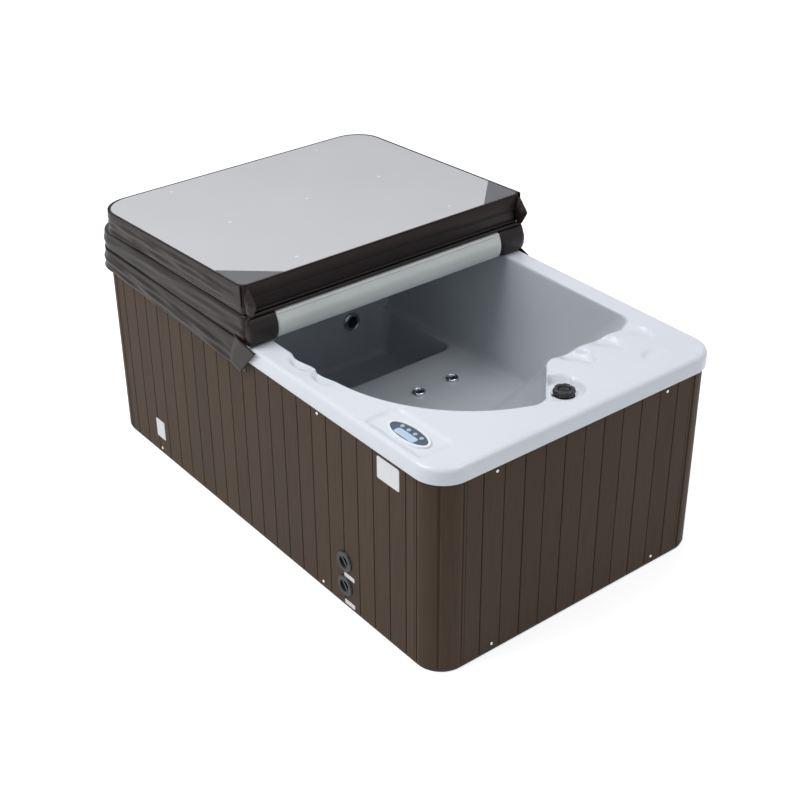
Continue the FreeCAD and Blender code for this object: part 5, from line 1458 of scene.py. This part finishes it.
# %% Welt
WELT_R, WELT_POINTS, WELT_RIPPLE = 5.6 * MM, 200, 18 * MM
WELT_HALF, WELT_BEND = COVER_HALF - 6 * MM, np.array([20, 24]) * MM
welt_x = WELT_HALF * np.sin(np.linspace(-np.pi / 2, np.pi / 2, WELT_POINTS))
past = np.clip((np.abs(welt_x) - WELT_HALF) / WELT_BEND[0] + 1, 0, 1)
welt_z = FOLD_Z - WELT_BEND[1] * (1 - np.sqrt(1 - past ** 2))
welt_path = np.stack([welt_x, np.full(WELT_POINTS, FOLD_Y), welt_z], -1)
welt_grid = tube(welt_path, WELT_R * (1 - 0.05 * np.cos(welt_x / WELT_RIPPLE)))
welt = add_closed("fold_welt", welt_grid, trim_and_shade_vinyl, "cover_rear", "cover_vinyl")
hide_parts("cover_fold_welt")

# %% [markdown]
# Piping runs round the liner's edge and across the fold face, where a seam divides the band. It is a thin
# tube along the sewn line.

# %% Piping
SEAM_R, BAND_R, EDGE_R, PIPE_SIDES, ACROSS_POINTS = 2.4 * MM, 4 * MM, 2.6 * MM, 8, 120
SEAM_UP, BAND_UP, FLAP_PIPE_UP = 52 * MM, 99 * MM, 9 * MM
BAND_PROUD, END_GAP, RIM_INSET, FLAP_PIPE_OFF = 1 * MM, 4 * MM, 3 * MM, 1.5 * MM
RIM_POINTS, FLAP_POINTS = 520, 420


def add_piping(name, path, radius, body, place):
    """A thin tube along a sewn line, put in its place."""
    add_closed(name, tube(place(path), radius, PIPE_SIDES), trim_and_shade_vinyl, body, "cover_vinyl")


def across(y, z):
    """A straight line across the cover at a place and height of the closed cover."""
    reach = COVER_HALF - FOLD_CORNER - END_GAP
    x = np.linspace(-reach, reach, ACROSS_POINTS)
    return np.stack([x, np.full(ACROSS_POINTS, y), np.full(ACROSS_POINTS, z)], -1)


add_piping("band_seam", across(front_near + SEAM_R, deck_z + SEAM_UP), SEAM_R, "cover_front", folded)
add_piping("band_piping", across(front_near + BAND_PROUD, deck_z + BAND_UP), BAND_R, "cover_front", folded)
rim_path = cover_outline(front_near, -COVER_FAR, -RIM_INSET, RIM_POINTS)
rim_path = with_height(np.vstack([rim_path, rim_path[:1]]), LINER_LOW + EDGE_R)
add_piping("liner_piping", rim_path, EDGE_R, "cover_front", folded)
rear_path = flap_path(rear_near, COVER_FAR, FLAP_PIPE_OFF, FLAP_POINTS)
rear_path = with_height(rear_path, COVER_LOW + FLAP_PIPE_UP)
add_piping("flap_piping", rear_path, EDGE_R, "cover_rear", as_drawn)

# %% [markdown]
# ## Stitches and handles
#
# A row of stitches closes the seal bar near its top. Each is a short bent tube, thin at its ends, and all are
# copies of one in a single mesh. A texture could draw them, but wouldn't stand off the vinyl.

# %% Stitches
STITCH, STITCH_R, STITCH_BEND, STITCH_POINTS, STITCH_SIDES = 7 * MM, 0.7 * MM, 0.5 * MM, 5, 6
STITCH_TAPER = np.array([0.5, 1, 1, 1, 0.5])
along = np.linspace(-1, 1, STITCH_POINTS)
stitch_path = np.stack([STITCH / 2 * along, np.zeros(STITCH_POINTS), -STITCH_BEND * along ** 2], -1)
stitch = tube(stitch_path, STITCH_R * STITCH_TAPER, STITCH_SIDES)
stitch_y, stitch_z = rear_near - 0.58 * SEAL_THICK, SEAL_TOP - 9 * MM
stitch_spots = [(x, stitch_y, stitch_z) for x in np.arange(-480, 481, 11) * MM]
stitch_points, stitch_faces = scatter(stitch.reshape(-1, 3), capped_quads(STITCH_POINTS, STITCH_SIDES),
                                      stitch_spots)
stitches = add_piece("seal_stitches", stitch_points, stitch_faces, thread, "cover_rear", "seal_vinyl")
press(stitches)

# %% [markdown]
# Two webbing handles on the far flap let the cover be lifted. Each is a strap that is sewn flat at its ends
# and stands off in the middle.

# %% Handles
HANDLE_X, HANDLE_HALF, HANDLE_WIDE, HANDLE_RISE = 328 * MM, 60 * MM, 26 * MM, 7 * MM
HANDLE_OFF, HANDLE_UP, HANDLE_SLOPE, STRAP_LONG, STRAP_WIDE = 4.2 * MM, 40 * MM, 0.55, 30, 6


def handle(side):
    """A strap that rises off the flap by a smooth step of the distance from its sewn ends."""
    u, v = np.meshgrid(np.linspace(-1, 1, STRAP_LONG), np.linspace(-0.5, 0.5, STRAP_WIDE), indexing="ij")
    rise = HANDLE_RISE * smooth_step((1 - np.abs(u)) / HANDLE_SLOPE)
    y = -COVER_FAR - HANDLE_OFF - rise
    patch = np.stack([side * HANDLE_X + u * HANDLE_HALF, y, deck_z + HANDLE_UP + v * HANDLE_WIDE], -1)
    return folded(patch).reshape(-1, 3), grid_quads(STRAP_LONG, STRAP_WIDE, wrap=False)


handles = add_piece("webbing_handles", *joined([handle(-1), handle(1)]), trim_and_shade_vinyl, "cover_front_skirt",
                    "cover_vinyl")
thicken(handles, FLAP_SHEET)
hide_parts("cover_handles")

# %% [markdown]
# ## Floor, light and camera
#
# A pale floor, an even world and two large soft lamps, one high on the left and one high in front. A lit
# backdrop could be built, but it would throw more light on the tub, so only rays that show the background see
# the floor glow and the world bright. The camera stands where the photo was taken from.

# %% Floor
FLOOR_HALF, FLOOR_Z, FLOOR_GLOW = 14.0, -0.5 * MM, 0.55


def background_rays(tree):
    """One for rays that show the background: straight from the camera, by a reflection or through glass."""
    rays = add_node(tree, "LightPath", {}).outputs
    shown = add_node(tree, "Math", {0: rays["Is Camera Ray"], 1: rays["Is Glossy Ray"]}, operation="MAXIMUM")
    shown = add_node(tree, "Math", {0: shown.outputs[0], 1: rays["Is Transmission Ray"]}, operation="MAXIMUM")
    return shown.outputs[0]


floor_corners = np.array([(-1, -1), (1, -1), (1, 1), (-1, 1)]) * FLOOR_HALF
floor_mesh = bpy.data.meshes.new("studio_floor")
floor_mesh.from_pydata(with_height(floor_corners, FLOOR_Z).tolist(), [], [(0, 1, 2, 3)])
floor = bpy.data.objects.new("studio_floor", floor_mesh)
bpy.context.scene.collection.objects.link(floor)
floor_finish, floor_tree, floor_shader = new_finish("pale_floor", Base_Color=linear("#FAFAFA"), Roughness=0.9,
                                                    Emission_Color=linear("#FFFFFF"))
glow = add_node(floor_tree, "Math", {0: background_rays(floor_tree), 1: FLOOR_GLOW}, operation="MULTIPLY")
floor_tree.links.new(glow.outputs[0], floor_shader.inputs["Emission Strength"])
floor_mesh.materials.append(floor_finish)

# %% World and lamps
WORLD_LIGHT, WORLD_SEEN, LAMP_TARGET = 0.42, 1.0, (0, 0, 0.5)
world = bpy.data.worlds.new("studio")
bpy.context.scene.world = world
world.use_nodes = True
world_tree = world.node_tree
strength = add_node(world_tree, "MapRange", {"Value": background_rays(world_tree), "To Min": WORLD_LIGHT,
                                             "To Max": WORLD_SEEN})
sky = world_tree.nodes["Background"]
sky.inputs["Color"].default_value = linear("#F7F9FF")
world_tree.links.new(strength.outputs[0], sky.inputs["Strength"])


def add_lamp(name, spot, wide, power):
    """A round lamp at a spot, tilted and turned towards the tub."""
    lamp = bpy.data.lights.new(name, "AREA")
    lamp.shape = "DISK"
    lamp.size = wide
    lamp.energy = power
    thing = bpy.data.objects.new(name, lamp)
    thing.location = spot
    way = np.subtract(LAMP_TARGET, spot)
    tilt = math.acos(-way[2] / np.linalg.norm(way))
    thing.rotation_euler = (tilt, 0, math.atan2(way[1], way[0]) - math.pi / 2)
    bpy.context.scene.collection.objects.link(thing)
    print("lamp", name, power, "W")


add_lamp("key_left", (-3.2, 0.9, 4.8), wide=3.4, power=165)
add_lamp("fill_front", (1.4, -2.2, 5.4), wide=2.6, power=64)

# %% Camera
CAMERA, LENS, SENSOR, FAR_CLIP = (-2.7914, -3.6137, 3.0894), 65.67, 36.0, 100.0
AZIMUTH, ELEVATION, ROLL = math.radians(38.2), math.radians(31.14), math.radians(-0.36)
camera = bpy.data.objects.new("camera", bpy.data.cameras.new("camera"))
camera.data.sensor_width = SENSOR
camera.data.lens = LENS
camera.data.clip_end = FAR_CLIP
camera.location = CAMERA
camera.rotation_mode = "XYZ"
camera.rotation_euler = (math.pi / 2 - ELEVATION, 0.0, -AZIMUTH)
camera.rotation_euler.rotate_axis("Z", ROLL)
bpy.context.scene.collection.objects.link(camera)
bpy.context.scene.camera = camera
bpy.context.scene.view_settings.view_transform = "Standard"
print("camera at", CAMERA)
